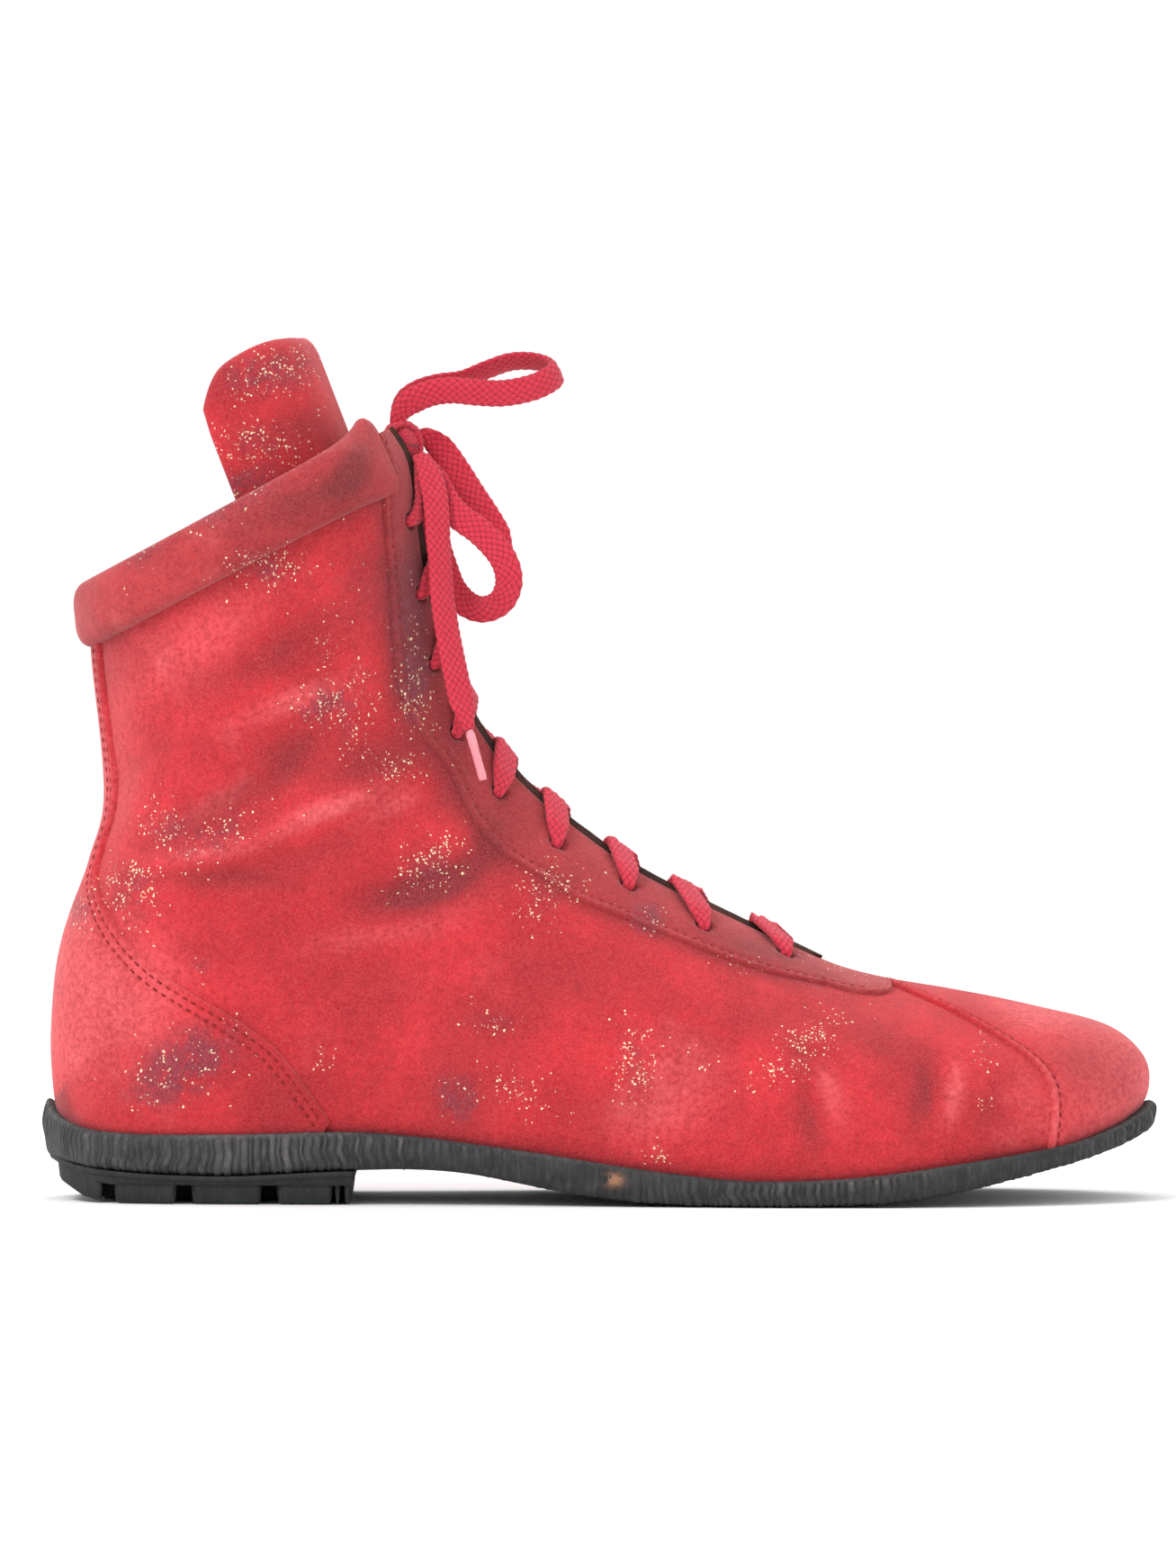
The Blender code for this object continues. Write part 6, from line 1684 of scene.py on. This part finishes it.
# ---------------------------------------------------------------- the rest of the frame
SLOT_LOOKS = {
    "insole_board": "board", "shank": "steel", "heel_wedge": "foam", "heel_stiffener": "stiffener",
    "toe_puff": "stiffener",
}


def dress_frame():
    """Materials for the CAD pieces that stay, hidden inside the boot."""
    for name, slot in SLOT_LOOKS.items():
        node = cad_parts[name]
        node.data.materials.clear()
        node.data.materials.append(INNER[slot])


# ---------------------------------------------------------------- stage
# Lamps: name, place and size in metres, power in watts.
LAMPS = (
    ("key", (-0.75, -0.75, 1.1), 0.5, 9.5), ("fill", (0.9, -1.2, 0.7), 1.2, 1.5),
    ("top", (0.1, 0.5, 1.4), 0.8, 6),
)
LIT_POINT = Vector((0, 0, 0.10))


def area_light(name, at, size, power):
    """A square lamp that faces the middle of the boot."""
    data = bpy.data.lights.new(name, "AREA")
    data.energy, data.size = power, size
    lamp = bpy.data.objects.new(name, data)
    lamp.location = at
    lamp.rotation_euler = (LIT_POINT - Vector(at)).to_track_quat("-Z", "Y").to_euler()
    bpy.context.scene.collection.objects.link(lamp)


def stage():
    """A white floor, a white surround and three lamps."""
    bpy.ops.mesh.primitive_plane_add(size=6, location=(0, 0, -0.0002))
    floor = bpy.context.object
    floor.name = "floor"
    n = Nodes("floor", Roughness=0.9, Specular_IOR_Level=0.1)
    base = n.mix(n.noise(40, 3), colour(255, 255, 255), colour(251, 251, 252))
    floor.data.materials.append(n.finish(base))
    world = bpy.data.worlds.new("studio")
    bpy.context.scene.world = world
    world.use_nodes = True
    background = world.node_tree.nodes["Background"]
    background.inputs["Color"].default_value = (1, 1, 1, 1)
    background.inputs["Strength"].default_value = 1.0
    for lamp in LAMPS:
        area_light(*lamp)
    bpy.context.scene.view_settings.view_transform = "Standard"


def build():
    """Every piece of the boot, then the stage."""
    for side, word in SIDES:
        quarter(side, word)
    eyestay()
    for side, word in SIDES:
        facing(side, word)
    toe_cap()
    counter()
    linings()
    tongue()
    flap()
    collar()
    seam_stitches()
    lacing()
    bow()
    knot()
    loop, out = loop_points()
    reach = wall_reach(loop, out)
    outsole(loop, out, reach)
    heel(loop, out, reach)
    insole(loop, out)
    dress_frame()
    stage()


build()
